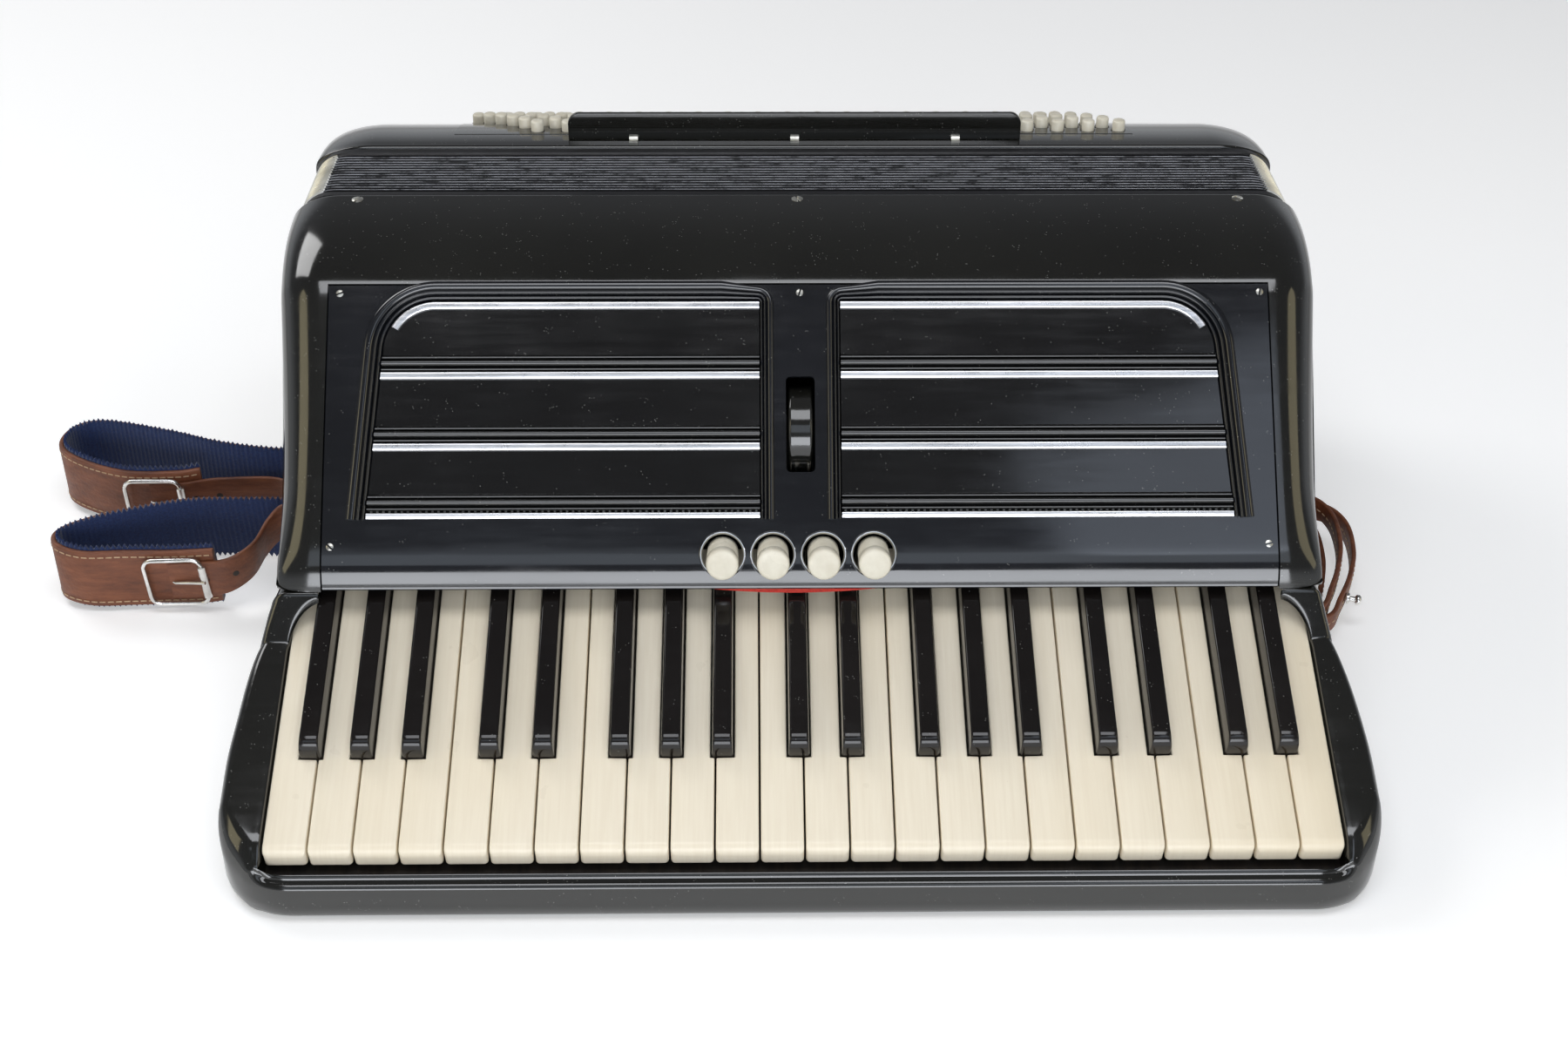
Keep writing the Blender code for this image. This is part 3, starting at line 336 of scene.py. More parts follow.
def cut(thing, *shapes):
    """Takes shapes out of a piece with exact Booleans, and leaves the result in its mesh."""
    for points, faces in shapes:
        mesh = bpy.data.meshes.new("cutter")
        mesh.from_pydata(points.tolist(), [], faces)
        cutter = bpy.data.objects.new("cutter", mesh)
        bpy.context.scene.collection.objects.link(cutter)
        step = thing.modifiers.new("cut", "BOOLEAN")
        step.object, step.operation, step.solver = cutter, "DIFFERENCE", "EXACT"
        bpy.context.view_layer.update()
        finished = bpy.data.meshes.new_from_object(thing.evaluated_get(bpy.context.evaluated_depsgraph_get()))
        thing.modifiers.clear()
        thing.data = finished
        bpy.data.objects.remove(cutter)
    thing.data.shade_smooth()
    thing.data.set_sharp_from_angle(angle=radians(30))


# Materials

class Shader:
    """A Principled material with short calls for the nodes behind it."""

    def __init__(self, name, colour, roughness, metallic=0.0):
        self.material = bpy.data.materials.new(name)
        self.material.use_nodes = True
        self.nodes = self.material.node_tree.nodes
        self.links = self.material.node_tree.links
        self.surface = self.nodes["Principled BSDF"]
        self.surface.inputs["Base Color"].default_value = (*colour, 1.0)
        self.surface.inputs["Roughness"].default_value = roughness
        self.surface.inputs["Metallic"].default_value = metallic
        self.place = self.nodes.new("ShaderNodeTexCoord").outputs["Object"]

    def add(self, kind, values=None, **inputs):
        node = self.nodes.new("ShaderNode" + kind)
        for key, value in (values or {}).items():
            setattr(node, key, value)
        for key, value in inputs.items():
            key = key.replace("_", " ")
            socket = node.inputs[key] if key in node.inputs else node.inputs[key.replace(" ", "_")]
            if isinstance(value, bpy.types.NodeSocket):
                self.links.new(value, socket)
            else:
                socket.default_value = value
        return node

    def scaled(self, scale):
        return self.add("Mapping", Vector=self.place, Scale=scale).outputs["Vector"]

    def noise(self, scale, stretch=(1, 1, 1), detail=3.0, roughness=0.55):
        return self.add("TexNoise", Vector=self.scaled(stretch), Scale=scale, Detail=detail,
                        Roughness=roughness).outputs["Fac"]

    def cells(self, scale, stretch=(1, 1, 1), output="Distance"):
        return self.add("TexVoronoi", Vector=self.scaled(stretch), Scale=scale).outputs[output]

    def attribute(self, name):
        return self.add("Attribute", {"attribute_name": name}).outputs["Fac"]

    def maths(self, operation, first, second):
        node = self.add("Math", {"operation": operation})
        for socket, value in zip(node.inputs, (first, second)):
            if isinstance(value, bpy.types.NodeSocket):
                self.links.new(value, socket)
            else:
                socket.default_value = value
        return node.outputs["Value"]

    def mix(self, factor, first, second):
        node = self.add("MixRGB")
        for socket, value in zip(node.inputs, (factor, first, second)):
            if isinstance(value, bpy.types.NodeSocket):
                self.links.new(value, socket)
            else:
                socket.default_value = value if isinstance(value, float) else (*value, 1.0)
        return node.outputs["Color"]

    def ramp(self, factor, stops):
        node = self.add("ValToRGB", Fac=factor)
        ramp = node.color_ramp
        while len(ramp.elements) < len(stops):
            ramp.elements.new(0.5)
        for element, (position, colour) in zip(ramp.elements, stops):
            element.position = position
            element.color = (*colour, 1.0)
        return node.outputs["Color"]

    def span(self, factor, low, high):
        return self.add("MapRange", Value=factor, To_Min=low, To_Max=high).outputs["Result"]

    def dust(self, base, share, scale, colour):
        """Small pale specks over a base colour: places near a cell's centre, in a few of the cells."""
        near = self.maths("LESS_THAN", self.cells(scale), 0.16)
        chosen = self.maths("GREATER_THAN", self.noise(scale * 0.31, detail=0.0), 1.0 - share)
        return self.mix(self.maths("MULTIPLY", near, chosen), base, colour)

    def colour(self, socket):
        self.links.new(socket, self.surface.inputs["Base Color"])

    def rough(self, socket):
        self.links.new(socket, self.surface.inputs["Roughness"])

    def bump(self, height, strength, distance):
        node = self.add("Bump", Strength=strength, Distance=distance, Height=height)
        self.links.new(node.outputs["Normal"], self.surface.inputs["Normal"])


def celluloid(name, dark, light, dusty=0.36, shine=0.9):
    shader = Shader(name, dark, 0.12)
    cloud = shader.ramp(shader.noise(9.0, detail=4.0), [(0.3, dark), (0.75, light)])
    shader.colour(shader.dust(cloud, dusty, 700.0, (0.14, 0.14, 0.13)))
    scuff = shader.noise(240.0, (0.12, 1.0, 1.0), 2.0)
    shader.rough(shader.span(shader.maths("MULTIPLY", shader.noise(28.0, detail=6.0), scuff), 0.04, 0.30))
    shader.bump(shader.noise(7.0, detail=1.5), 0.10, 0.004)
    shader.surface.inputs["Specular IOR Level"].default_value = shine
    return shader.material


def ivory():
    """Warm cream plastic with a faint straight grain along the keys, a little yellower here and there."""
    shader = Shader("ivory_key_plastic", (0.84, 0.765, 0.60), 0.3)
    grain = shader.noise(55.0, (11.0, 0.30, 1.0), 4.0, 0.6)
    warm = shader.noise(7.0, (1.0, 0.6, 0.6), 2.0)
    pale = shader.ramp(grain, [(0.30, (0.835, 0.742, 0.580)), (0.70, (0.885, 0.800, 0.638))])
    shader.colour(shader.mix(shader.ramp(warm, [(0.46, (0.0, 0.0, 0.0)), (0.75, (0.5, 0.5, 0.5))]), pale,
                             (0.83, 0.70, 0.48)))
    shader.rough(shader.span(shader.noise(50.0), 0.22, 0.40))
    shader.bump(shader.noise(55.0, (11.0, 0.30, 1.0)), 0.04, 0.0004)
    return shader.material


def cream(name="cream_button_plastic"):
    shader = Shader(name, (0.72, 0.67, 0.55), 0.3)
    shader.colour(shader.ramp(shader.noise(140.0), [(0.3, (0.66, 0.61, 0.49)), (0.7, (0.76, 0.72, 0.60))]))
    shader.rough(shader.span(shader.noise(90.0), 0.2, 0.4))
    return shader.material


def bright_metal(name="nickel_plate", dark=(0.50, 0.49, 0.46), light=(0.82, 0.81, 0.79), low=0.14, high=0.34):
    shader = Shader(name, light, low, 1.0)
    shader.rough(shader.span(shader.noise(220.0, detail=5.0), low, high))
    shader.colour(shader.ramp(shader.noise(60.0, detail=5.0), [(0.28, dark), (0.6, light)]))
    return shader.material


def drawn_aluminium():
    """Polished strip with fine lines along it and small worn places."""
    shader = Shader("bright_strip", (0.8, 0.8, 0.8), 0.22, 1.0)
    lines = shader.noise(30.0, (0.4, 22.0, 22.0), 3.0)
    shader.colour(shader.ramp(lines, [(0.25, (0.42, 0.42, 0.42)), (0.6, (0.80, 0.80, 0.82))]))
    shader.rough(shader.span(shader.noise(70.0, detail=5.0), 0.16, 0.42))
    return shader.material


def leather():
    shader = Shader("brown_leather", (0.15, 0.06, 0.03), 0.45)
    cells = shader.cells(560.0)
    creases = shader.noise(120.0, (0.35, 1.0, 1.6), 6.0, 0.7)
    shader.colour(shader.ramp(creases, [(0.28, (0.080, 0.022, 0.009)), (0.52, (0.165, 0.050, 0.019)),
                                        (0.8, (0.26, 0.090, 0.038))]))
    shader.rough(shader.span(shader.noise(80.0), 0.42, 0.66))
    shader.bump(shader.maths("ADD", cells, creases), 0.30, 0.0005)
    return shader.material


def cut_leather():
    shader = Shader("raw_leather", (0.42, 0.19, 0.09), 0.85)
    shader.colour(shader.ramp(shader.noise(300.0, detail=5.0), [(0.3, (0.30, 0.125, 0.055)), (0.7, (0.50, 0.245, 0.125))]))
    shader.bump(shader.noise(500.0), 0.4, 0.0005)
    return shader.material


def felt(name, dark, light):
    """Pressed wool: short cloudy fibres and a soft edge glow."""
    shader = Shader(name, dark, 0.95)
    fibres = shader.noise(900.0, detail=5.0, roughness=0.75)
    shader.colour(shader.ramp(fibres, [(0.35, dark), (0.68, light)]))
    shader.surface.inputs["Sheen Weight"].default_value = 0.25
    shader.surface.inputs["Sheen Roughness"].default_value = 0.5
    shader.bump(fibres, 0.6, 0.0008)
    return shader.material


def thread():
    shader = Shader("waxed_thread", (0.50, 0.33, 0.19), 0.7)
    shader.colour(shader.ramp(shader.noise(1500.0), [(0.3, (0.36, 0.22, 0.12)), (0.7, (0.58, 0.42, 0.27))]))
    return shader.material


def bellows_cloth():
    """Black leatherette with painted highlights: pale bluish broken lines laid along its fold crests."""
    shader = Shader("bellows_leatherette", (0.008, 0.008, 0.010), 0.5)
    base = shader.ramp(shader.noise(60.0), [(0.3, (0.002, 0.002, 0.003)), (0.7, (0.006, 0.006, 0.008))])
    broken = shader.noise(90.0, (0.6, 6.0, 1.0), 5.0, 0.75)
    # painted highlight: a pale bluish colour for the fold crests, broken into lines by the stretched noise
    crest_highlight = shader.ramp(broken, [(0.38, (0.03, 0.03, 0.035)), (0.52, (0.50, 0.51, 0.56))])
    crest = shader.ramp(shader.attribute("crest"), [(0.80, (0.0, 0.0, 0.0)), (0.97, (1.0, 1.0, 1.0))])
    shader.colour(shader.mix(crest, base, crest_highlight))
    shader.rough(shader.span(shader.noise(200.0), 0.35, 0.6))
    shader.bump(shader.cells(900.0), 0.25, 0.0003)
    return shader.material


def dark_wood():
    shader = Shader("stained_wood", (0.02, 0.013, 0.009), 0.7)
    shader.colour(shader.ramp(shader.noise(40.0, (8.0, 0.5, 1.0)), [(0.3, (0.010, 0.007, 0.005)),
                                                                     (0.7, (0.030, 0.020, 0.014))]))
    return shader.material


def make_finishes():
    return {
        "case": celluloid("black_celluloid", (0.006, 0.006, 0.005), (0.012, 0.012, 0.010)),
        "panel": celluloid("grille_celluloid", (0.004, 0.0045, 0.006), (0.008, 0.009, 0.012), 0.30),
        "slat": celluloid("louvre_celluloid", (0.003, 0.003, 0.003), (0.006, 0.006, 0.006), 0.33),
        "ebony": celluloid("black_key_plastic", (0.005, 0.004, 0.004), (0.012, 0.010, 0.009), 0.33, 0.5),
        "ivory": ivory(),
        "cream": cream(),
        "bass_cream": cream("bass_button_plastic"),
        "metal": bright_metal(),
        "chrome": bright_metal("chrome_ring", (0.60, 0.60, 0.60), (0.88, 0.88, 0.89), 0.06, 0.16),
        "screw": bright_metal("screw_nickel", (0.30, 0.29, 0.25), (0.66, 0.65, 0.60), 0.2, 0.5),
        "mesh": bright_metal("dull_mesh", (0.07, 0.07, 0.07), (0.20, 0.20, 0.19), 0.4, 0.6),
        "corner": bright_metal("bellows_corner_metal", (0.60, 0.60, 0.57), (0.90, 0.90, 0.88), 0.2, 0.4),
        "strip": drawn_aluminium(),
        "leather": leather(),
        "raw_leather": cut_leather(),
        "navy": felt("navy_felt", (0.004, 0.012, 0.060), (0.012, 0.035, 0.130)),
        "red": felt("red_felt", (0.42, 0.02, 0.012), (0.68, 0.05, 0.03)),
        "thread": thread(),
        "bellows": bellows_cloth(),
        "wood": dark_wood(),
    }


# Keys

def over_keys(x, along, up):
    """World points at a distance along the key tops and square above them."""
    x, along, up = np.broadcast_arrays(x, along, up)
    y = along * cos(KEY_SLOPE) - up * sin(KEY_SLOPE)
    z = KEY_TOP_HEIGHT + along * sin(KEY_SLOPE) + up * cos(KEY_SLOPE)
    return np.stack([x, y, z], -1)


def slope_point(along, up):
    return over_keys(0.0, along, up)[1:]


def black_shifts():
    """Each white-key boundary that carries a black key, with that key's shift from it."""
    return {g: BLACK_SHIFTS[(g - 1) % 7] for g in range(1, WHITE_COUNT) if BLACK_SHIFTS[(g - 1) % 7] is not None}


def key_section(left, right, top, under, edge, shoulder=None):
    """Rings across a key at each station: straight sides, then quarter-round top edges of radius edge."""
    turns = np.radians(np.linspace(0, 90, 5))
    rise, draw = edge * (np.sin(turns) - 1), edge * (1 - np.cos(turns))
    low_left, low_right = (left, right) if shoulder is None else shoulder
    level = top[:, None] + rise
    rightward = np.concatenate([low_right[:, None], low_right[:, None], right[:, None] - draw], 1)
    leftward = np.concatenate([left[:, None] + draw[::-1], low_left[:, None], low_left[:, None]], 1)
    foot = np.minimum(top - edge, np.zeros_like(top) if shoulder is not None else top - edge)
    heights = np.concatenate([under[:, None], foot[:, None], level], 1)
    return np.concatenate([rightward, leftward], 1), np.concatenate([heights, heights[:, ::-1]], 1)


def quarter_draw(distance, radius):
    """How far a quarter-round of a radius draws in at a distance behind its front."""
    left = np.clip(radius - distance, 0, radius)
    return radius - np.sqrt(np.maximum(radius ** 2 - left ** 2, 0))


def white_key(index, finish):
    shifts = black_shifts()
    centre = (index + 0.5) * KEY_PITCH - KEYBOARD_HALF
    half, tiny = (KEY_PITCH - KEY_SIDE_GAP) / 2, 0.00015
    step = BLACK_START - 0.0005
    turns = np.radians(np.linspace(0, 90, 9))
    front = np.unique(np.round(np.concatenate([KEY_ROLL * (1 - np.cos(turns)), KEY_CORNER * (1 - np.cos(turns))]), 6))
    along = np.concatenate([front, [KEY_ROLL + 0.0003, 0.012, 0.02, 0.035, step - 0.0005, step, step + tiny, 0.06, 0.1, KEY_TAIL,
                                    KEY_TAIL + 0.002, KEY_LENGTH]])
    narrow = along > step
    left_in = shifts[index] + BLACK_SLOT - KEY_PITCH / 2 if index in shifts else -half
    right_in = shifts[index + 1] - BLACK_SLOT + KEY_PITCH / 2 if index + 1 in shifts else half
    draw = quarter_draw(along, KEY_CORNER)
    left = np.where(narrow, left_in, -half + draw)
    right = np.where(narrow, right_in, half - draw)
    top = -quarter_draw(along, KEY_ROLL)
    under = np.where(along > KEY_TAIL, -KEY_TAIL_THICKNESS, -KEY_THICKNESS)
    x, up = key_section(left, right, top, under, KEY_EDGE)
    lean = KEY_NOSE * np.clip(-up / KEY_THICKNESS, 0, 1) * (1 - step_between(along, 0.002, 0.016))[:, None]
    along = along + KEY_FRONT * (1 - step_between(along, 0.012, 0.035))
    rows = over_keys(centre + x, along[:, None] - lean, up)
    name = f"white_key_{index + 1:02d}"
    piece(f"{name}_cover", name, finish, skin(rows), stands_for=[name], slot="ivory", sharp=50)


def black_key(index, boundary, shift, finish):
    """The nose is a quarter ellipse, and the sides draw in as they rise."""
    centre = boundary * KEY_PITCH + shift - KEYBOARD_HALF
    turns = np.radians(np.linspace(0, 90, 10))
    nose = BLACK_NOSE_LENGTH * (1 - np.cos(turns))
    along = np.concatenate([nose, [BLACK_NOSE_LENGTH + 0.0003, 0.02, 0.06, 0.09, 0.092, KEY_LENGTH - BLACK_START]])
    top = np.full(len(along), BLACK_RISE)
    top[:len(nose)] = BLACK_NOSE_FOOT + (BLACK_RISE - BLACK_NOSE_FOOT) * np.sin(turns)
    share = (top / BLACK_RISE)
    draw = quarter_draw(along, 0.0010)
    half = BLACK_WIDTH / 2 - (BLACK_WIDTH - BLACK_TOP_WIDTH) / 2 * share - draw
    base = BLACK_WIDTH / 2 - draw
    under = np.where(along > KEY_TAIL - BLACK_START, -KEY_TAIL_THICKNESS, -KEY_THICKNESS)
    x, up = key_section(-half, half, top, under, BLACK_EDGE, (-base, base))
    rows = over_keys(centre + x, BLACK_START + along[:, None], up)
    name = f"black_key_{index + 1:02d}"
    piece(f"{name}_cover", name, finish, skin(rows), stands_for=[name], slot="black_celluloid", sharp=50)


# Keyboard frame

def cheek_line(y):
    """Outer plan edge of a cheek: a smooth curve through its half widths, broadest near the front."""
    edge = through(CHEEK_EDGE, 6)
    return np.interp(y, edge[:, 0], edge[:, 1])


def cheek_top(y):
    """Height of a cheek: the keys' slope, then a hollow curve that rises to meet the casing's face."""
    slope = KEY_TOP_HEIGHT + CHEEK_RISE / cos(KEY_SLOPE) + y * np.tan(KEY_SLOPE)
    hollow = np.array([(0.0980, 0.0701), (0.1099, 0.0888), (0.1260, 0.0892)])
    return np.where(y < 0.0980, slope, np.interp(y, hollow[:, 0], hollow[:, 1]))


def cover_line(y):
    """Inner plan edge: straight along the outer key, then a quarter ellipse drawn in over it up to the black key."""
    share = np.clip((y - COVER_START) / COVER_LENGTH, 0, 1)
    line = np.maximum(WELL_HALF - COVER_REACH * (1 - np.sqrt(1 - share ** 2)) ** 1.1, 0.2205)
    return np.where(y < PANEL_FOOT[0], line, 0.2228)


def frame_rows():
    """Rings round the front of the keyboard, from one cheek's far end to the other's."""
    far = CASE_FRONT - GAP
    curve_y = COVER_START + COVER_LENGTH * np.sin(np.radians(np.linspace(90, 0, 24)))
    creases = [0.0978, 0.0982, 0.1097, 0.1102, 0.1104]
    cheek_y = np.unique(np.concatenate([np.linspace(far, curve_y[0], 8), curve_y, creases,
                                        np.linspace(COVER_START, 0.024, 16)]))[::-1]
    outer = [np.stack([cheek_line(cheek_y), cheek_y], -1)]
    inner = [np.stack([cover_line(cheek_y), cheek_y], -1)]
    well = [np.stack([np.full(len(cheek_y), WELL_HALF), cheek_y], -1)]
    centre = (CHEEK_NEAR - CHEEK_CORNER, RAIL_FRONT + CHEEK_CORNER)
    corner = arc(centre, (CHEEK_CORNER, CHEEK_CORNER), 0, -90, 40)
    path = np.array([(WELL_HALF, centre[1]), (WELL_HALF, RAIL_BACK), (centre[0], RAIL_BACK)])
    share = np.linspace(0, 1, 41)
    bend = np.stack([np.interp(share, [0, 0.55, 1], path[:, 0]), np.interp(share, [0, 0.55, 1], path[:, 1])], -1)
    outer.append(corner)
    inner.append(bend)
    well.append(bend)
    outer, inner, well = (np.concatenate(some) for some in (outer, inner, well))
    rail = np.concatenate([np.zeros(len(cheek_y)), step_between(share, 0.30, 0.78)])
    width = np.linalg.norm(outer - inner, axis=1)
    cheek_height = cheek_top(inner[:, 1])
    height = cheek_height * (1 - rail) + RAIL_HEIGHT * rail
    lid = np.minimum(height - 0.0035, KEY_TOP_HEIGHT + 0.0007 + inner[:, 1] * np.tan(KEY_SLOPE))
    lid = np.where(inner[:, 1] > COVER_START, height - 0.0028, lid) * (1 - rail) + (height - 0.0035) * rail
    bend_share = np.concatenate([np.zeros(len(cheek_y)), np.sin(pi * np.clip(share / 0.95, 0, 1))])
    rise = step_between(outer[:, 1], 0.080, far)
    roll_out = np.minimum(width * 0.8, 0.0048 + 0.0030 * rail + 0.0080 * bend_share + 0.0010 * rise)
    roll_down = 0.0062 + 0.0038 * rail + 0.0060 * bend_share + 0.0030 * rise
    turns = np.linspace(0, 90, 13)
    cheek_t = np.concatenate([[0.0, 0.0, 0.0, 0.00035, 0.0012, 0.0030], np.zeros(13)])
    cheek = np.zeros((len(width), len(cheek_t), 2))
    cheek[..., 0] = cheek_t
    cheek[:, 3:6, 1] = height[:, None] + np.array([-0.0004, 0.0, 0.0])
    cheek[:, 2, 1] = height - 0.0012
    cheek[:, 6:, 0] = (width - roll_out)[:, None] + roll_out[:, None] * np.sin(np.radians(turns))
    cheek[:, 6:, 1] = (height - roll_down)[:, None] + roll_down[:, None] * np.cos(np.radians(turns))
    bead_t = np.array([0.0, 0.0, 0.0, 0.0003, 0.0009, 0.0015, 0.0020, 0.0024])
    bead_z = np.array([0.0, 0.0, -0.0012, -0.0004, 0.0, -0.0003, -0.0010, -0.0017])
    rolled = np.concatenate([arc((0.0040, -0.0047), (0.0030, 0.0030), 90, 10, 9),
                             [(0.0080, -0.0110)]])
    strip = np.stack([np.concatenate([bead_t, rolled[:, 0]]), np.concatenate([bead_z, rolled[:, 1]])], -1)
    rail_profile = np.broadcast_to(strip, cheek.shape).copy()
    rail_profile[..., 0] *= (width / (RAIL_BACK - RAIL_FRONT))[:, None]
    rail_profile[..., 1] += height[:, None]
    profile = cheek * (1 - rail)[:, None, None] + rail_profile * rail[:, None, None]
    direction = unit(outer - inner)
    spots = inner[:, None] + direction[:, None] * profile[..., :1]
    heights = profile[..., 1].copy()
    spots[:, 0], spots[:, 1] = well, inner
    spots[:, 0, 1] = spots[:, 1, 1]
    heights[:, 0], heights[:, 1] = lid, lid
    foot = arc((-0.007, 0.009), (0.007, 0.009), 0, -90, 4)
    foot_spots = outer[:, None] + direction[:, None] * foot[None, :, :1]
    base = np.stack([well, well], 1)
    spots = np.concatenate([base[:, 1:], spots, foot_spots], 1)
    heights = np.concatenate([np.zeros((len(width), 1)), heights,
                              np.broadcast_to(foot[:, 1], (len(width), 5))], 1)
    rows = np.concatenate([spots, heights[..., None]], -1)
    share = np.clip((rows[..., 0] - WELL_HALF) / (CHEEK_NEAR - WELL_HALF), 0, 1)
    right, left = rows.copy(), rows[::-1] * [-1, 1, 1]
    share = share * (1 - 0.6 * step_between(rows[..., 1], 0.110, far))
    right[..., 0] -= 0.0010 * share
    left[..., 0] -= 0.0012 * share[::-1]
    wider = np.clip((-left[..., 0] - WELL_HALF) / 0.008, 0, 1) * step_between(left[..., 1], 0.060, 0.100)
    left[..., 0] -= 0.0018 * wider
    return np.concatenate([right, left])


def keyboard_frame(finishes):
    piece("keyboard_surround", "treble", finishes["case"], skin(frame_rows()), stands_for=["keyboard_frame"],
          slot="black_celluloid", sharp=34)
    low = slope_point(-0.003, -BED_DEPTH)
    back = CASE_FRONT - GAP
    high = low[1] + (back - low[0]) * np.tan(KEY_SLOPE)
    section = np.array([(low[0], 0.0005), (low[0], low[1]), (back, high), (back, 0.0005)])
    rows = np.stack([np.concatenate([np.full((4, 1), x), section], 1) for x in (-WELL_HALF, WELL_HALF)])
    piece("key_bed", "treble", finishes["wood"], skin(rows))
    turn = np.linspace(0, 2 * pi, 16, endpoint=False)
    y, z = slope_point(KEY_LENGTH - 0.008, -0.007)
    ring = np.stack([np.zeros(16), y + 0.0015 * np.cos(turn), z + 0.0015 * np.sin(turn)], -1)
    ends = np.array([-1, -0.999, 0.999, 1]) * (KEYBOARD_HALF + 0.004)
    piece("key_axle_rod", "treble", finishes["metal"], skin(ring[None] + ends[:, None, None] * np.array([1, 0, 0])),
          stands_for=["key_axle"], slot="nickel")


# Treble casing

def lip_line():
    """The arc from the panel's foot to its heel: it leaves the heel along the panel and turns evenly downward."""
    chord = PANEL_HEEL - PANEL_FOOT
    panel_angle = atan2(PANEL_UP[1], PANEL_UP[0])
    half_turn = atan2(chord[1], chord[0]) - panel_angle
    radius = hypot(*chord) / (2 * sin(half_turn))
    angle = np.linspace(panel_angle + 2 * half_turn, panel_angle, 17)
    spots = np.stack([np.sin(angle[0]) - np.sin(angle), np.cos(angle) - np.cos(angle[0])], -1)
    return PANEL_FOOT + radius * spots


def case_line():
    """The casing's face and crown from the panel's foot to the bellows, its creases eased."""
    face = np.concatenate([lip_line() - (0.0004, 0.0), [PANEL_CREST]])
    share = np.linspace(0, 1, 30)[1:] ** 1.4
    fall = (CASE_TOP - PANEL_CREST[1]) * (1 - share) ** 2.7
    crown = np.stack([PANEL_CREST[0] + (CASE_BACK - 0.002 - PANEL_CREST[0]) * share, CASE_TOP - fall], -1)
    line = even(np.concatenate([face, crown]), 260)
    return eased(line, 30)


def case_rows():
    """Rings across the casing; inside the panel's width the face gives way to the pocket behind it.
    The sides flare toward the bellows: a step of y from 0 to 1, 3t² - 2t³, times the flare."""
    line = case_line()
    crest = int(np.argmin(np.linalg.norm(line - PANEL_CREST, axis=1)))
    face, crown = line[:crest], line[crest:]
    back = np.concatenate([arc((CASE_BACK - 0.0018, CASE_TOP - 0.0018), (0.0018, 0.0018), 80, 0, 5),
                           [(CASE_BACK, 0.0)]])
    deep = PANEL_CREST + PANEL_IN * POCKET_DEPTH
    under = -BED_DEPTH - 0.0004
    lane_start = (CASE_FRONT - under * -sin(KEY_SLOPE)) / cos(KEY_SLOPE)
    reach = KEY_LENGTH + 0.003
    lane_low = [slope_point(lane_start, under), slope_point(reach, under)]
    wall, ledge_y = (CASE_FRONT, 0.0797), CASE_FRONT - 0.0030

    def under_lip(over, least=0.0):
        y, z = slope_point((ledge_y + over * sin(KEY_SLOPE)) / cos(KEY_SLOPE), over)
        return y, max(z, least)

    ledge = (CASE_FRONT, 0.0865)

    def outline(kind):
        if kind == "solid":
            hollow, front = [wall, wall, ledge, ledge, ledge], face
        elif kind == "pocket":
            wall_line = np.linspace(deep - PANEL_UP * POCKET_LENGTH, deep, len(face) - 3)
            lip = np.array([PANEL_CREST + PANEL_IN * 0.0035, PANEL_CREST + PANEL_IN * 0.0012 + PANEL_UP * 0.0001,
                            PANEL_CREST + PANEL_IN * 0.0004 + PANEL_UP * 0.0003])
            hollow, front = lane_low + [slope_point(reach, 0.002)] * 3, np.concatenate([wall_line, lip])
        else:
            over = 0.0118 if kind == "black lane" else 0.0016
            hollow = lane_low + [slope_point(reach, over), under_lip(over), under_lip(over, 0.0850)]
            front = face
        points = np.concatenate([[(CASE_FRONT, 0.0)], np.array(hollow), front, crown, back])
        weight = np.ones_like(points)
        weight[0, 0] = 0.0
        inset = inward(points) * weight
        inset *= np.where(points[:, :1] < PANEL_CREST[0], 0.25 + 0.75 * step_between(points[:, 1:], 0.086, 0.130), 1.0)
        inset[-len(back):-1] = (0.0, -1.0)
        inset[-1, 0] = 0.0
        if kind != "solid":
            inset[1:6] = 0.0
        return points, inset

    start = CASE_HALF - CASE_ROUND

    def dropped(x):
        return CASE_DROP * (1 - sqrt(1 - min(max(x - start, 0) / CASE_ROUND, 1) ** 2))

    places = [(0.2193, "pocket"), (0.2193, "black lane"), (0.2220, "black lane"), (0.2240, "black lane")]
    places += [(x, "white lane") for x in (0.2240, 0.2262, 0.2284, 0.2306, 0.2328, 0.2347)]
    turn = np.linspace(asin((0.2347 - start) / CASE_ROUND), pi / 2, 10)
    places += [(x, "solid") for x in start + CASE_ROUND * np.sin(turn)]
    stations = [(x, kind, dropped(x)) for x, kind in places]
    rows = []
    for x, kind, drop in [(-x, kind, drop) for x, kind, drop in reversed(stations)] + stations:
        points, inset = outline(kind)
        moved = points + inset * drop
        widen = np.clip((abs(x) - 0.2193) / (CASE_HALF - 0.2193), 0, 1) * CASE_FLARE * step_between(moved[:, 0], 0.14, 0.28)
        rows.append(np.concatenate([(x + np.sign(x) * widen)[:, None], moved], 1))
    return np.stack(rows)


# Grille panel

def on_panel(x, climb, depth):
    """World points on the panel's flat: across, up from its heel, and into the casing."""
    x, climb, depth = np.broadcast_arrays(x, climb, depth)
    y = PANEL_HEEL[0] + PANEL_UP[0] * climb + PANEL_IN[0] * depth
    z = PANEL_HEEL[1] + PANEL_UP[1] * climb + PANEL_IN[1] * depth
    return np.stack([x, y, z], -1)


def panel_prism(outline, out, deep):
    """An (x, climb) outline carried through the panel."""
    return skin(np.stack([on_panel(outline[:, 0], outline[:, 1], depth) for depth in (-out, deep)]))


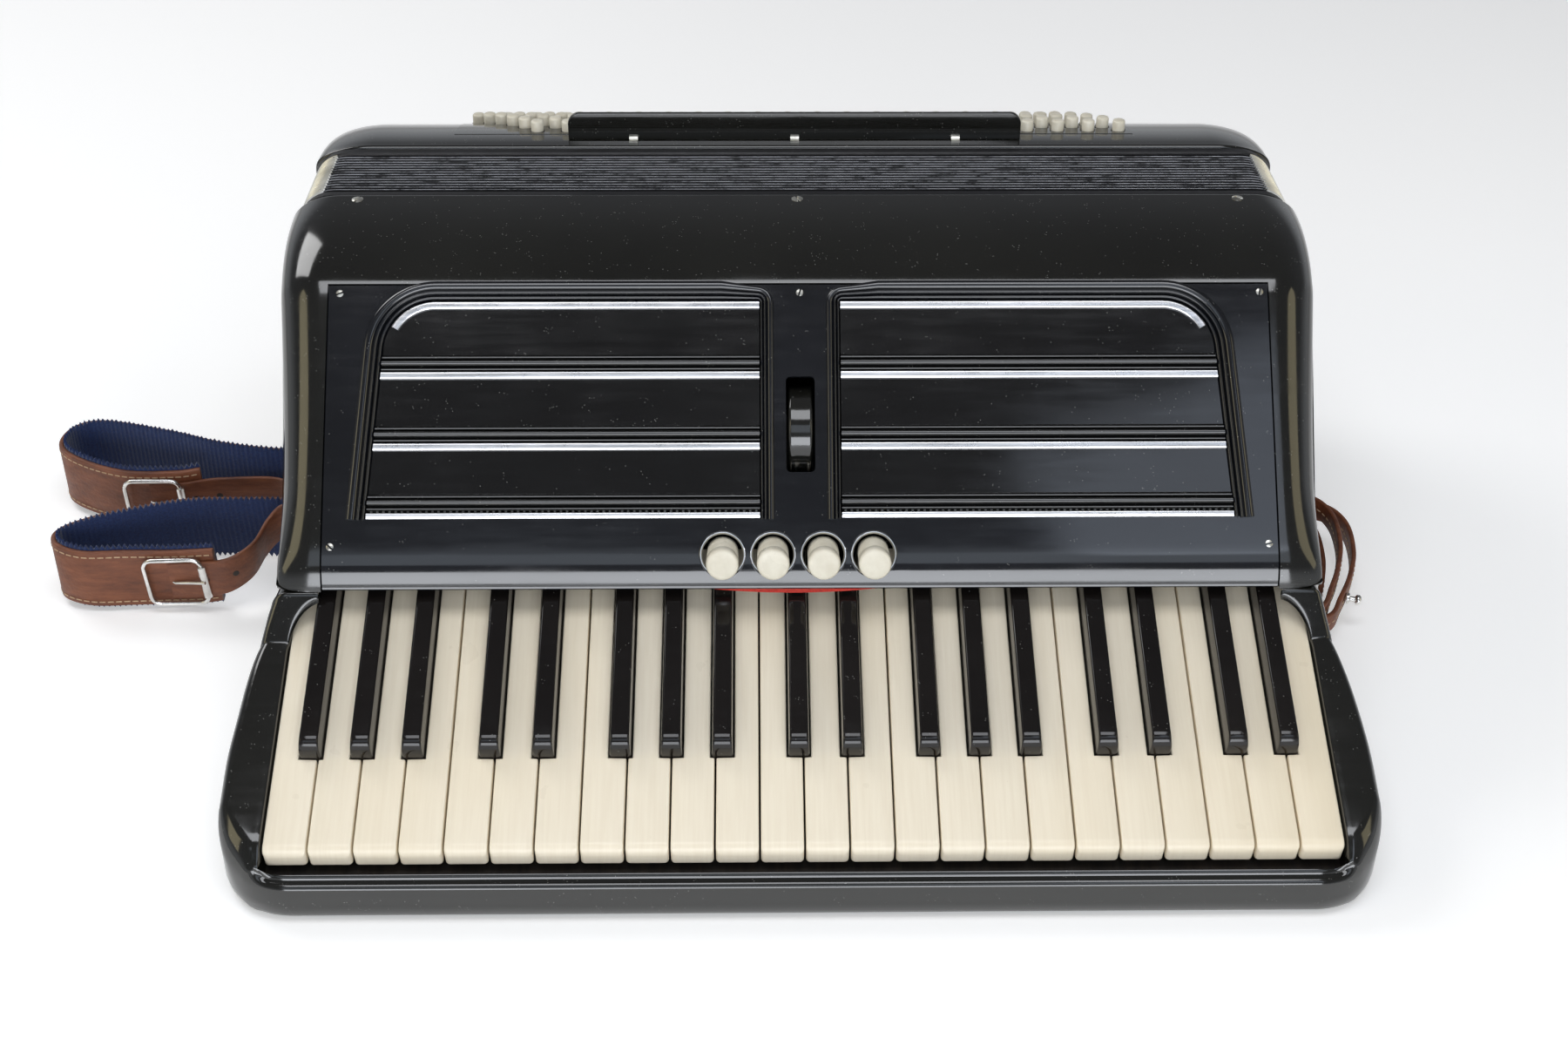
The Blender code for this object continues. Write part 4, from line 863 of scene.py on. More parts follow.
def window_edge(grow=0.0):
    """The right window's edge in (x, climb): up its inner side, across, round its outer corner and down."""
    high = WINDOW_HIGH + grow
    inner = arc((WINDOW_INNER + 0.0012, WINDOW_HIGH - 0.0012), (0.0012 + grow,) * 2, 180, 90, 6)
    middle = (WINDOW_OUTER - WINDOW_SLANT - WINDOW_CORNER, WINDOW_HIGH - WINDOW_CORNER)
    outer = arc(middle, (WINDOW_CORNER + grow,) * 2, 90, 3, 18)
    low = WINDOW_LOW - 0.0025
    side = np.stack([np.linspace(outer[-1, 0], WINDOW_OUTER + grow, 8)[1:], np.linspace(outer[-1, 1], low, 8)[1:]], -1)
    rise = np.stack([np.full(8, WINDOW_INNER - grow), np.linspace(low, inner[0, 1], 9)[:-1]], -1)
    top = np.stack([np.linspace(inner[-1, 0], outer[0, 0], 10)[1:-1], np.full(8, high)], -1)
    return np.concatenate([rise, inner, top, outer, side])


def moulding():
    """Three half-round beads that step down toward the window, carried along its edge; narrower by the bridge."""
    edge = window_edge()
    ahead = np.gradient(edge, axis=0)
    normal = unit(np.stack([-ahead[:, 1], ahead[:, 0]], -1))
    wide = 0.72 + 0.28 * step_between(edge[:, 0], WINDOW_INNER + 0.001, WINDOW_INNER + 0.012)
    turn = np.radians(np.linspace(8, 172, 9))
    offsets, heights = [], []
    for start, width, base, tall in ((0.0092, 0.0044, 0.0000, 0.0016), (0.0044, 0.0017, -0.0001, 0.0016),
                                     (0.0023, 0.0017, -0.0010, 0.0011)):
        offsets.append(start - width * (1 - np.cos(turn)) / 2)
        heights.append(base + tall * np.sin(turn))
    offset = np.concatenate([[0.0094], *offsets, [0.0004, 0.0, 0.0, 0.0094]])
    height = np.concatenate([[-0.0006], *heights, [-0.0014, -0.0022, -0.0055, -0.0055]])
    spots = edge[:, None] + normal[:, None] * offset[None, :, None] * wide[:, None, None]
    return skin(on_panel(spots[..., 0], spots[..., 1], -np.broadcast_to(height, spots.shape[:2])))


def window_reach(climb):
    """How far a window reaches from the middle at a climb: a slanted side, then a quarter round."""
    turn = WINDOW_HIGH - WINDOW_CORNER
    side = WINDOW_OUTER - WINDOW_SLANT * np.clip((climb - WINDOW_LOW) / (turn - WINDOW_LOW), 0, 1)
    rise = np.clip(climb - turn, 0, WINDOW_CORNER - 1e-5)
    return side - WINDOW_CORNER + np.sqrt(WINDOW_CORNER ** 2 - rise ** 2)


def slat(lip, top):
    """A board that leans in as it climbs, over a rolled lip between two finer ridges: each roll is a circle's arc."""
    fine = arc((lip - 0.0029, 0.0009), (0.0006, 0.0008), 180, 360, 6) * [1, 1]
    bead = arc((lip, 0.0006), (0.0015, 0.0018), 190, 350, 10)
    ridge = arc((lip + 0.0027, 0.0006), (0.0006, 0.0007), 200, 340, 6)
    board = np.stack([np.linspace(lip + 0.0040, top, 16), np.linspace(0.0010, 0.0012, 16)], -1)
    outside = np.concatenate([[(lip - 0.0036, 0.0022)], fine, [(lip - 0.0020, 0.0013)], bead,
                              [(lip + 0.0019, 0.0012)], ridge, board])
    section = np.concatenate([outside, outside[::-1] + [0.0, 0.0016]])
    reach = window_reach(section[:, 0]) - 0.0001
    stations = [np.full(len(section), WINDOW_INNER + 0.0001), np.full(len(section), 0.10), reach]
    return skin(np.stack([on_panel(x, section[:, 0], section[:, 1]) for x in stations]))


def strip_section(tip):
    """The bright strip's section in (climb, depth): a face tipped by some depth, under a rounded upper edge."""
    half = STRIP_HEIGHT / 2
    return np.array([(-half, 0.0016), (-half, 0.0002 + tip), (-half + 0.0003, -0.0002 + tip),
                     (0.0, -0.0003 + tip / 2), (half - 0.0008, -0.0004), (half - 0.0005, -0.00038),
                     (half - 0.0002, -0.0002), (half, 0.0001), (half, 0.0016)])


def strip(climb, tip):
    section = strip_section(tip) + [climb, 0.0]
    reach = window_reach(section[:, 0]) - 0.0001
    stations = [np.full(len(section), WINDOW_INNER + 0.0001), np.full(len(section), 0.10), reach]
    return skin(np.stack([on_panel(x, section[:, 0], section[:, 1]) for x in stations]))


def top_strip(climb):
    """The topmost strip, which turns down with the window's corner."""
    section = strip_section(-0.0001)
    middle = (WINDOW_OUTER - WINDOW_SLANT - WINDOW_CORNER, WINDOW_HIGH - WINDOW_CORNER)
    radius = climb - middle[1]
    bend = arc(middle, (radius, radius), 90, 30, 16)
    path = np.concatenate([[(WINDOW_INNER + 0.0001, climb), (0.10, climb)], bend])
    out = np.concatenate([[(0.0, 1.0), (0.0, 1.0)], unit(bend - middle)])
    spots = path[:, None] + out[:, None] * section[None, :, :1]
    return skin(on_panel(spots[..., 0], spots[..., 1], np.broadcast_to(section[:, 1], spots.shape[:2])))


def grille_mesh():
    """A narrow pierced strip behind the lowest opening of each window: upright wires between two rails."""
    wires = []
    for x in np.arange(0.0200, 0.1975, 0.0028):
        wires.append(skin(np.stack([on_panel(np.array([x, x + 0.0010, x + 0.0010, x]), climb,
                                             np.array([0.0020, 0.0020, 0.0026, 0.0026]))
                                    for climb in (0.0178, 0.0212)])))
    for climb in (0.0182, 0.0203):
        wires.append(skin(np.stack([on_panel(x, climb + np.array([0, 0.0007, 0.0007, 0]),
                                             np.array([0.0018, 0.0018, 0.0024, 0.0024]))
                                    for x in (0.0190, 0.1985)])))
    return mirrored(gather(wires))


def panel_plate():
    """The panel's section: a bulged lip from foot to heel, then the flat, carried across."""
    lip = lip_line()[1:]
    top = PANEL_CREST - PANEL_UP * 0.0006
    outer = np.concatenate([lip, [PANEL_HEEL + PANEL_UP * 0.004, top]])
    leave = np.concatenate([np.linspace((1, 0.05), PANEL_IN, len(lip)), np.tile(PANEL_IN, (2, 1))])
    inner = outer + leave * PANEL_THICKNESS
    foot = arc(lip[0] + (0.0009, 0.0001), (0.0010, 0.0012), 190, 300, 6)[::-1]
    section = np.concatenate([foot, outer, inner[::-1]])
    xs = np.concatenate([[-1, -0.998], np.linspace(-0.95, 0.95, 9), [0.998, 1]]) * PANEL_HALF
    rows = []
    for x in xs:
        draw = 0.0004 if abs(x) == PANEL_HALF else 0.0
        moved = section + inward(section) * draw
        rows.append(np.concatenate([np.full((len(moved), 1), x), moved], 1))
    return skin(np.stack(rows))


def window_cut(side):
    """The opening behind a window's moulding."""
    edge = window_edge(0.0035)
    edge = np.concatenate([edge, [(edge[-1, 0], WINDOW_LOW - 0.0018), (edge[0, 0], WINDOW_LOW - 0.0018)]])
    edge = edge[edge[:, 1] > WINDOW_LOW - 0.0019]
    return panel_prism(edge * [side, 1], 0.02, 0.02)


def button_place(number, out):
    """A register button's axis, leaning up from level, at a distance out from the lip."""
    direction = Vector((0, -cos(radians(BUTTON_LEAN)), sin(radians(BUTTON_LEAN))))
    face = Vector((-0.036 + number * 0.023, 0.1037, 0.1076))
    return Matrix.Translation(face + direction * (out - 0.0120)) @ direction.to_track_quat("Z", "Y").to_matrix().to_4x4()


def ring_place(number):
    """A ring's place: it lies on the panel's heel, leaning halfway to the lip."""
    direction = Vector((0, -cos(radians(38)), sin(radians(38))))
    foot = Vector((-0.036 + number * 0.023, PANEL_HEEL[0] - 0.0006, PANEL_HEEL[1] - 0.0004))
    return Matrix.Translation(foot) @ direction.to_track_quat("Z", "Y").to_matrix().to_4x4()


def screw_head(radius, height, slot_turn):
    """A low dome with a slot across it: height falls with the square of the radius, less the slot's depth."""
    rings, spokes = np.linspace(0, 1, 9), np.linspace(0, 2 * pi, 32, endpoint=False)
    r, turn = np.meshgrid(rings * radius, spokes, indexing="ij")
    top = height * (1 - 0.55 * (r / radius) ** 2)
    off = np.abs(r * np.sin(turn - slot_turn))
    top = top - 0.7 * height * (off < radius * 0.16) * (r > 0)
    top[0] = height * 0.35
    rows = np.stack([r * np.cos(turn), r * np.sin(turn), top], -1)
    foot = rows[-1:] * [1, 1, 0] + [0, 0, -0.001]
    return skin(np.concatenate([rows, foot]))


def screws():
    """Small slotted screws at the panel's corners and crest, and along the casing's top."""
    shapes = []
    facing = Vector((0, -PANEL_IN[0], -PANEL_IN[1])).to_track_quat("Z", "Y").to_matrix().to_4x4()
    for number, (x, climb) in enumerate(((-0.2136, 0.1225), (0.2150, 0.1225), (-0.2150, 0.0035), (0.2145, 0.0035),
                                         (0.0, 0.1225))):
        place = Matrix.Translation(on_panel(x, climb, 0.0004)) @ facing
        shapes.append(copies(screw_head(0.0019, 0.0007, 0.4 + number), [place]))
    for number, x in enumerate((-0.2136, 0.0, 0.2150)):
        lean = Matrix.Rotation(radians(1.5), 4, "X")
        place = Matrix.Translation((x, 0.2655, 0.2123)) @ lean
        shapes.append(copies(screw_head(0.0028, 0.0010, 1.2 + number * 0.7), [place]))
    return shapes


def grille_panel(finishes):
    plate = piece("grille_plate", "treble", finishes["panel"], panel_plate(), stands_for=["grille_panel"],
                  slot="black_celluloid")
    low, high, half = 0.060 - 0.0225, 0.060 + 0.0225, 0.0067
    corner = 0.0022
    slot = np.concatenate([arc((sx * (half - corner), mid), (corner, corner), turn, turn + 90, 4)
                           for sx, mid, turn in ((1, high - corner, 0), (-1, high - corner, 90),
                                                 (-1, low + corner, 180), (1, low + corner, 270))])
    bore = solid_of_turning([(0, -0.03), (0.0095, -0.03), (0.0095, 0.03), (0, 0.03)], 40)
    holes = [copies(bore, [ring_place(n)]) for n in range(4)]
    cut(plate, window_cut(-1), window_cut(1), panel_prism(slot, 0.02, 0.02), *holes)
    piece("window_mouldings", "treble", finishes["panel"], mirrored(moulding()), slot="black_celluloid", sharp=60)
    tops = (STRIP_CLIMBS[1], STRIP_CLIMBS[2], STRIP_CLIMBS[3])
    boards = [slat(lip, top) for lip, top in zip(LIP_CLIMBS, tops)]
    piece("louvre_boards", "treble", finishes["slat"], mirrored(gather(boards)), slot="black_celluloid")
    strips = [strip(climb, tip) for climb, tip in zip(STRIP_CLIMBS[:3], (0.0005, -0.0001, -0.0001))]
    strips.append(top_strip(STRIP_CLIMBS[3]))
    piece("bright_strips", "treble", finishes["strip"], mirrored(gather(strips)), slot="nickel", sharp=60)
    piece("grille_wires", "treble", finishes["mesh"], grille_mesh(), slot="nickel")
    piece("panel_screws", "treble", finishes["screw"], *screws(), slot="nickel", sharp=50)
    ring = [(0.0108, -0.0010), (0.0108, 0.0002), (0.0106, 0.0009), (0.0102, 0.0014), (0.0099, 0.0014),
            (0.0098, 0.0012), (0.0096, 0.0007), (0.0094, 0.0004), (0.0093, 0.0), (0.0093, -0.0010)]
    piece("button_rings", "treble", finishes["chrome"], copies(turned(ring, 48), [ring_place(n) for n in range(4)]),
          slot="nickel", sharp=50)
    red_felt(finishes)


def red_felt(finishes):
    """A felt strip under the lip whose lower edge hangs as a shallow parabola."""
    x = np.linspace(-0.040, 0.034, 29)
    drop = 0.0003 + 0.0022 * (1 - (np.abs(x + 0.003) / 0.037) ** 2)
    section = np.array([(0.0, 0.0), (0.0, -1.0), (0.0010, -1.06), (0.0020, -1.0), (0.0020, 0.0)])
    y = PANEL_FOOT[0] + 0.0004 + np.broadcast_to(section[:, 0], (29, 5))
    z = PANEL_FOOT[1] + 0.0006 + section[None, :, 1] * drop[:, None]
    rows = np.stack([np.broadcast_to(x[:, None], (29, 5)), y, z], -1)
    piece("red_felt_strip", "treble", finishes["red"], skin(rows))


def register_buttons(finish):
    profile = [(0, -0.0080), (0.0072, -0.0080), (0.0072, 0.0052), (0.0070, 0.0055), (0.0070, 0.0060),
               (0.0072, 0.0064), (0.0074, 0.0067), (0.0074, 0.0108), (0.0072, 0.0115), (0.0068, 0.0119),
               (0.0061, 0.0120), (0.0030, 0.01202), (0, 0.01203)]
    for n in range(4):
        name = f"register_button_{n + 1}"
        piece(f"{name}_cap", name, finish, copies(solid_of_turning(profile, 40), [button_place(n, 0.0)]),
              stands_for=[name], slot="cream_plastic", sharp=50)


def tone_wheel(finish):
    """A drum with a slightly hollow, glossy rim and rounded shoulders."""
    half, radius = 0.0055, 0.022
    shoulder = arc((radius - 0.0014, half - 0.0014), (0.0014, 0.0014), 90, 0, 4)
    rim = np.concatenate([shoulder, [(radius - 0.0003, 0.002), (radius - 0.0003, -0.002)], shoulder[::-1] * [1, -1]])
    profile = np.concatenate([[(0, half)], rim, [(0, -half)]])
    middle = on_panel(0.0, 0.060, 0.019)
    place = Matrix.Translation(middle) @ Matrix.Rotation(pi / 2, 4, "Y")
    piece("tone_wheel_drum", "tone_wheel", finish, copies(solid_of_turning(profile, 72), [place]),
          stands_for=["tone_wheel"], slot="black_celluloid", sharp=50)


# Bellows

def rounded_rectangle(half, low, high, radius, corner_steps=8, side_steps=6):
    """A counter-clockwise (x, z) outline with rounded corners and evenly divided sides."""
    corners = [arc((sx * (half - radius), mz), (radius, radius), turn, turn + 90, corner_steps)
               for sx, mz, turn in ((1, high - radius, 0), (-1, high - radius, 90), (-1, low + radius, 180),
                                    (1, low + radius, 270))]
    parts = []
    for k in range(4):
        parts.append(corners[k])
        start, stop = corners[k][-1], corners[(k + 1) % 4][0]
        parts.append(np.linspace(start, stop, side_steps + 1)[1:-1])
    return np.concatenate(parts)


def bellows(finishes):
    """Fifteen folds between two frames: the ring's inset follows a rounded zigzag along Y."""
    folds, frame_width, depth = 15, 0.006, 0.0115
    span = BASS_START - BELLOWS_START - 2 * frame_width
    share = np.array([0.0, 0.06, 0.13, 0.5, 0.87, 0.94])
    sink = np.array([0.0, 0.0004, 0.0022, depth, 0.0022, 0.0004]) + 0.0006
    # shine: how strongly each row of a fold takes the painted crest highlight
    shine = np.array([1.0, 0.80, 0.0, 0.0, 0.0, 0.80])
    y = np.concatenate([BELLOWS_START + frame_width + span * (np.arange(folds)[:, None] + share + 0.0).ravel() / folds])
    sinks, shines = np.tile(sink, folds), np.tile(shine, folds)
    start = BELLOWS_START + GAP
    y = np.concatenate([[start, start + 0.0007, BELLOWS_START + frame_width - 0.0012, BELLOWS_START + frame_width - 0.0005],
                        y + 0.0, [BASS_START - frame_width + 0.0005, BASS_START - frame_width + 0.0012,
                                  BASS_START - 0.0007, BASS_START]])
    sinks = np.concatenate([[0.0012, 0.0, 0.0, 0.0009], sinks, [0.0009, 0.0, 0.0, 0.0012]])
    # the frames' edges take a weaker painted highlight
    shines = np.concatenate([[0.2, 0.4, 0.4, 0.2], shines, [0.2, 0.4, 0.4, 0.2]])
    rows = []
    for place, inset in zip(y, sinks):
        ring = rounded_rectangle(REAR_HALF - 0.001 - inset, 0.0012 + inset, CASE_TOP - 0.001 - inset, 0.0172 - inset / 2)
        rows.append(np.stack([ring[:, 0], np.full(len(ring), place), ring[:, 1]], -1))
    rows = np.stack(rows)
    # the crest attribute carries each point's painted highlight strength to the cloth
    crest = np.repeat(shines, rows.shape[1])
    piece("pleated_bellows", "folds", finishes["bellows"], skin(rows), stands_for=["bellows"],
          slot="bellows_cloth", crest=crest, sharp=50)
    guards = []
    pitch = span / folds
    section = np.array([(-0.25, 0.0046), (-0.22, 0.0012), (-0.13, -0.0001), (0.0, -0.0006), (0.13, -0.0001),
                        (0.22, 0.0012), (0.25, 0.0046), (0.0, 0.0012)])
    for k in range(folds):
        centre = BELLOWS_START + frame_width + pitch * (k + 0.5)
        for sx, mid_z, low_turn in ((1, CASE_TOP - 0.0182, -20), (-1, CASE_TOP - 0.0182, 106),
                                    (-1, 0.0184, 164), (1, 0.0184, 270)):
            turn = np.radians(np.linspace(low_turn, low_turn + 94, 13))
            out = np.stack([np.cos(turn), np.sin(turn)], -1)
            middle = np.array([sx * (REAR_HALF - 0.001 - 0.0172), mid_z])
            inset = section[:, 1]
            spots = middle + out[:, None] * (0.0172 - inset)[None, :, None]
            yy = np.broadcast_to(centre + section[:, 0] * pitch, spots.shape[:2])
            guards.append(skin(np.stack([spots[..., 0], yy, spots[..., 1]], -1)))
    piece("bellows_corner_guards", "folds", finishes["corner"], *guards, slot="nickel", sharp=60)


# Bass side

def bass_height(y):
    """Height of the crowned top: it falls with the square of the distance past the lip."""
    return CASE_TOP - BASS_FALL * ((y - BASS_START) / (BASS_END - BASS_START - BASS_END_ROUND)) ** 2


def bass_casing(finishes):
    front, shoulder = BASS_START + GAP, BASS_END - BASS_END_ROUND
    y = np.linspace(front + 0.0018, shoulder, 26)[:-1]
    lip = arc((front + 0.0018, CASE_TOP - 0.0018), (0.0018, 0.0018), 180, 95, 5)
    end = arc((shoulder, bass_height(shoulder) - BASS_END_DROP), (BASS_END_ROUND, BASS_END_DROP), 90, 0, 12)
    heel = arc((BASS_END - BASS_HEEL, BASS_HEEL), (BASS_HEEL, BASS_HEEL), 0, -90, 8)
    wall = np.linspace(end[-1], heel[0], 12)[1:-1]
    outline = np.concatenate([[(front, 0.0)], lip, np.stack([y, bass_height(y)], -1), end, wall, heel])
    inset = inward(outline)
    inset[0, 0] = 0.0
    inset[1:7] = (0.0, -1.0)
    rows = []
    for turn in np.radians(np.concatenate([np.linspace(-90, 0, 16), np.linspace(0, 90, 16)])):
        side = np.sign(turn) if abs(turn) > 1e-9 else (1 if rows and rows[-1][0, 0] < 0 and len(rows) == 16 else -1)
        x = side * (REAR_HALF - BASS_ROUND) + BASS_ROUND * sin(turn)
        moved = outline + inset * BASS_DROP * (1 - cos(turn))
        rows.append(np.concatenate([np.full((len(moved), 1), x), moved], 1))
    casing = piece("bass_shell", "bass", finishes["case"], skin(np.stack(rows)), stands_for=["bass_casing"],
                   slot="black_celluloid")
    bore = solid_of_turning([(0, 0), (0.0075, 0), (0.0075, 0.05), (0, 0.05)], 36)
    place = Matrix.Translation((AIR_BUTTON_X, BASS_END + 0.009 - 0.018 - 0.0075, 0.128))
    place = place @ Vector((0, 1, 0)).to_track_quat("Z", "Y").to_matrix().to_4x4()
    cut(casing, copies(bore, [place]))


def bass_buttons(finishes):
    """A thin board on the crown, and 120 flat-topped buttons in slanting rows."""
    rows_count, columns, row_step, column_step, shift, margin = 6, 20, 0.0085, 0.016, 0.0072, 0.0065
    width = (columns - 1) * column_step + (rows_count - 1) * shift
    low_y = BASS_START + 0.019
    high_y = low_y + (rows_count - 1) * row_step + 2 * margin
    half = width / 2 + margin
    y = np.linspace(low_y, high_y, 12)
    over = np.stack([y, bass_height(y) + 0.0003], -1)
    section = np.concatenate([over, over[::-1] - [0, 0.0015]])
    board = np.stack([np.concatenate([np.full((24, 1), x), section], 1) for x in (-half, half)])
    piece("bass_board", "bass", finishes["case"], skin(board), stands_for=["bass_button_board"],
          slot="black_celluloid")
    row, column = np.meshgrid(np.arange(rows_count), np.arange(columns), indexing="ij")
    y = low_y + margin + row * row_step
    x = half - margin - row * shift - (columns - 1 - column) * column_step
    z = bass_height(y)
    places = np.tile(np.eye(4), (rows_count * columns, 1, 1))
    places[:, 0, 3], places[:, 1, 3], places[:, 2, 3] = x.ravel(), y.ravel(), z.ravel()
    profile = [(0, -0.001), (0.0033, -0.001), (0.0033, 0.0053), (0.0030, 0.0059), (0.0023, 0.0062), (0, 0.00622)]
    piece("bass_buttons", "bass", finishes["bass_cream"], copies(solid_of_turning(profile, 14), places),
          slot="cream_plastic", sharp=60)
    collar = [(0.0039, 0.0), (0.0039, 0.0006), (0.0037, 0.0008), (0.0034, 0.0007), (0.0034, 0.0)]
    piece("bass_button_collars", "bass", finishes["case"], copies(turned(collar, 10), places), slot="black_celluloid")


def bass_guard(finishes):
    """A stiff strip that stands ahead of the bass buttons, on three bent clips."""
    y = BASS_START + 0.0105
    base, half, tall, corner = bass_height(y) + 0.0002, 0.1165, 0.0145, 0.006
    outline = np.concatenate([[(half, base), (-half, base)],
                              arc((corner - half, base + tall - corner), (corner, corner), 180, 90, 8),
                              arc((half - corner, base + tall - corner), (corner, corner), 90, 0, 8)])
    plate = slab(outline, 0.00125, 0.0006, lambda u, v, h: np.stack([u, y + h, v], -1))
    piece("bass_guard_strip", "bass", finishes["case"], plate, stands_for=["bass_guard"], slot="black_celluloid")
    clips = []
    for x in (-0.083, 0.0, 0.083):
        bend = [(y - 0.0042, base), (y - 0.0042, base + 0.0005), (y - 0.0022, base + 0.0007), (y - 0.0019, base + 0.0011),
                (y - 0.0019, base + 0.0026), (y - 0.0012, base + 0.0028), (y - 0.0012, base)]
        section = np.array(bend)
        rows = np.stack([np.concatenate([np.full((7, 1), x + dx), section], 1) for dx in (-0.0022, 0.0022)])
        clips.append(skin(rows))
    piece("guard_clips", "bass", finishes["screw"], *clips, slot="nickel", sharp=50)


# Leather

def band(points, across, face, width, low, high, edge=0.0008):
    """A leather band: a rounded section, width by (low to high) along the face, carried along its points."""
    turns = np.radians(np.linspace(0, 90, 4))
    half = np.broadcast_to(np.asarray(width, float) / 2, (len(points),))
    edge = min(edge, (high - low) / 2 - 1e-5)
    draw, rise = edge * (1 - np.sin(turns)), edge * (1 - np.cos(turns))
    offsets = np.concatenate([half[:, None] - rise, (half[:, None] - rise)[:, ::-1],
                              -(half[:, None] - rise), -(half[:, None] - rise)[:, ::-1]], 1)
    upper, lower = high - draw[::-1] * 0, low + draw * 0
    levels = np.concatenate([high - edge * (1 - np.cos(turns[::-1])) * 0 - edge * np.sin(0) * 0
                             + (np.sin(turns) - 0) * 0, lower, lower, upper])
    top = high - edge + edge * np.cos(np.pi / 2 - turns[::-1]) * 0
    levels = np.concatenate([high - edge + edge * np.sin(turns[::-1]), low + edge - edge * np.sin(turns),
                             low + edge - edge * np.sin(turns[::-1]), high - edge + edge * np.sin(turns)])
    reach = edge * (1 - np.cos(turns))
    offsets = np.concatenate([half[:, None] - reach[::-1], half[:, None] - reach,
                              -(half[:, None] - reach[::-1]), -(half[:, None] - reach)], 1)
    rows = points[:, None] + across[:, None] * offsets[..., None] + face[:, None] * levels[None, :, None]
    return skin(rows)


def hand_strap(finishes):
    half, face, count = 0.170, BASS_END + GAP, 60
    share = np.linspace(-1, 1, count)
    y = face + 0.0022 + 0.042 * (1 - np.abs(share) ** 4)
    points = np.stack([half * share, y, np.full(count, 0.110)], -1)
    ahead = unit(np.gradient(points, axis=0))
    up = np.tile([0.0, 0.0, 1.0], (count, 1))
    out = np.cross(ahead, up) * -1
    out = np.where(out[:, 1:2] < 0, -out, out)
    width = 0.072 - 0.030 * np.clip(np.abs(share) - 0.78, 0, 1) / 0.22
    piece("bass_hand_strap", "bass", finishes["leather"], band(points, up, out, width, -0.0020, 0.0022),
          stands_for=["hand_strap"], slot="leather")
    seams = []
    for side in (-1, 1):
        seams.append(stitches(points[2:-2], up[2:-2] * side, out[2:-2], width[2:-2] / 2 - 0.003, 0.0023))
    piece("hand_strap_stitches", "bass", finishes["thread"], *seams)


def stitches(points, across, face, inset, level, pitch=0.0042, length=0.0030):
    """Short thread dashes laid along a band, each a low four-sided block."""
    line = points + across * np.broadcast_to(np.asarray(inset, float), (len(points),))[:, None] + face * level
    run = np.concatenate([[0], np.cumsum(np.linalg.norm(np.diff(line, axis=0), axis=1))])
    starts = np.arange(pitch / 2, run[-1] - length, pitch)

    def at(values, places):
        return np.stack([np.interp(places, run, values[:, k]) for k in range(3)], -1)

    near, far = at(line, starts), at(line, starts + length)
    side, out = unit(at(across, starts)) * 0.00035, unit(at(face, starts))
    ends = []
    for place, lift in ((near, 0.0), (near * 0.7 + far * 0.3, 0.00035), (near * 0.3 + far * 0.7, 0.00035), (far, 0.0)):
        ends.append(np.stack([place - side - out * 0.0003, place + side - out * 0.0003,
                              place + side * 0.6 + out * lift, place - side * 0.6 + out * lift], 1))
    rows = np.stack(ends, 1)
    return gather([skin(row) for row in rows])


def strap_lines(route, side, steps):
    """Centres, widthways steps and faces along a strap's route beside the casing."""
    route = np.array(route)
    world = np.stack([side * (CASE_HALF + route[:, 0]), BELLOWS_START + route[:, 1], route[:, 2],
                      np.radians(route[:, 3])], -1)
    fine = through(world, steps)
    points, tilt = fine[:, :3], fine[:, 3:]
    ahead = np.gradient(points, axis=0) * [1, 1, 0]
    ahead = unit(ahead)
    level = np.stack([-ahead[:, 1], ahead[:, 0], np.zeros(len(ahead))], -1)
    up = np.array([0.0, 0.0, 1.0])
    return points, level * np.cos(tilt) + up * np.sin(tilt), level * -np.sin(tilt) + up * np.cos(tilt)


UPPER_ROUTE = (
    (0.0030, -0.0220, 0.0215, 84), (0.0130, -0.0100, 0.0215, 84), (0.0200, 0.0080, 0.0220, 84),
    (0.0310, 0.0230, 0.0220, 84), (0.0442, 0.0300, 0.0220, 84), (0.0708, 0.0296, 0.0220, 84),
    (0.0834, 0.0279, 0.0215, 86), (0.0958, 0.0258, 0.0208, 86), (0.1237, 0.0265, 0.0207, 86),
    (0.1505, 0.0379, 0.0210, 88), (0.1644, 0.0509, 0.0220, 90), (0.1620, 0.0690, 0.0220, 90),
    (0.1460, 0.0735, 0.0230, 90), (0.1070, 0.0600, 0.0240, 88), (0.0790, 0.0480, 0.0245, 88),
    (0.0520, 0.0405, 0.0250, 88), (0.0250, 0.0375, 0.0250, 88),
)
LOWER_ROUTE = (
    (0.0030, -0.0260, 0.0380, 80), (0.0190, -0.0200, 0.0380, 80), (0.0310, -0.0210, 0.0370, 80),
    (0.0395, -0.0292, 0.0320, 80), (0.0445, -0.0440, 0.0280, 80), (0.0536, -0.0516, 0.0245, 82),
    (0.0647, -0.0515, 0.0220, 86), (0.0822, -0.0508, 0.0207, 86), (0.1045, -0.0514, 0.0207, 88),
    (0.1265, -0.0522, 0.0210, 88), (0.1410, -0.0460, 0.0220, 90), (0.1425, -0.0350, 0.0220, 90),
    (0.1300, -0.0250, 0.0225, 90), (0.1085, -0.0150, 0.0225, 92), (0.0821, -0.0060, 0.0225, 94),
    (0.0531, -0.0050, 0.0225, 94), (0.0300, -0.0060, 0.0225, 92),
)
ENDS_ROUTE = (
    (0.0020, -0.0930, 0.0150, 90), (0.0160, -0.0925, 0.0150, 90), (0.0311, -0.0873, 0.0150, 90),
    (0.0390, -0.0740, 0.0160, 90), (0.0480, -0.0560, 0.0170, 90), (0.0550, -0.0350, 0.0180, 90),
    (0.0570, -0.0100, 0.0190, 90), (0.0500, 0.0050, 0.0200, 90), (0.0360, 0.0090, 0.0200, 90),
    (0.0220, 0.0040, 0.0190, 90), (0.0130, -0.0060, 0.0180, 90), (0.0060, -0.0180, 0.0170, 90),
)


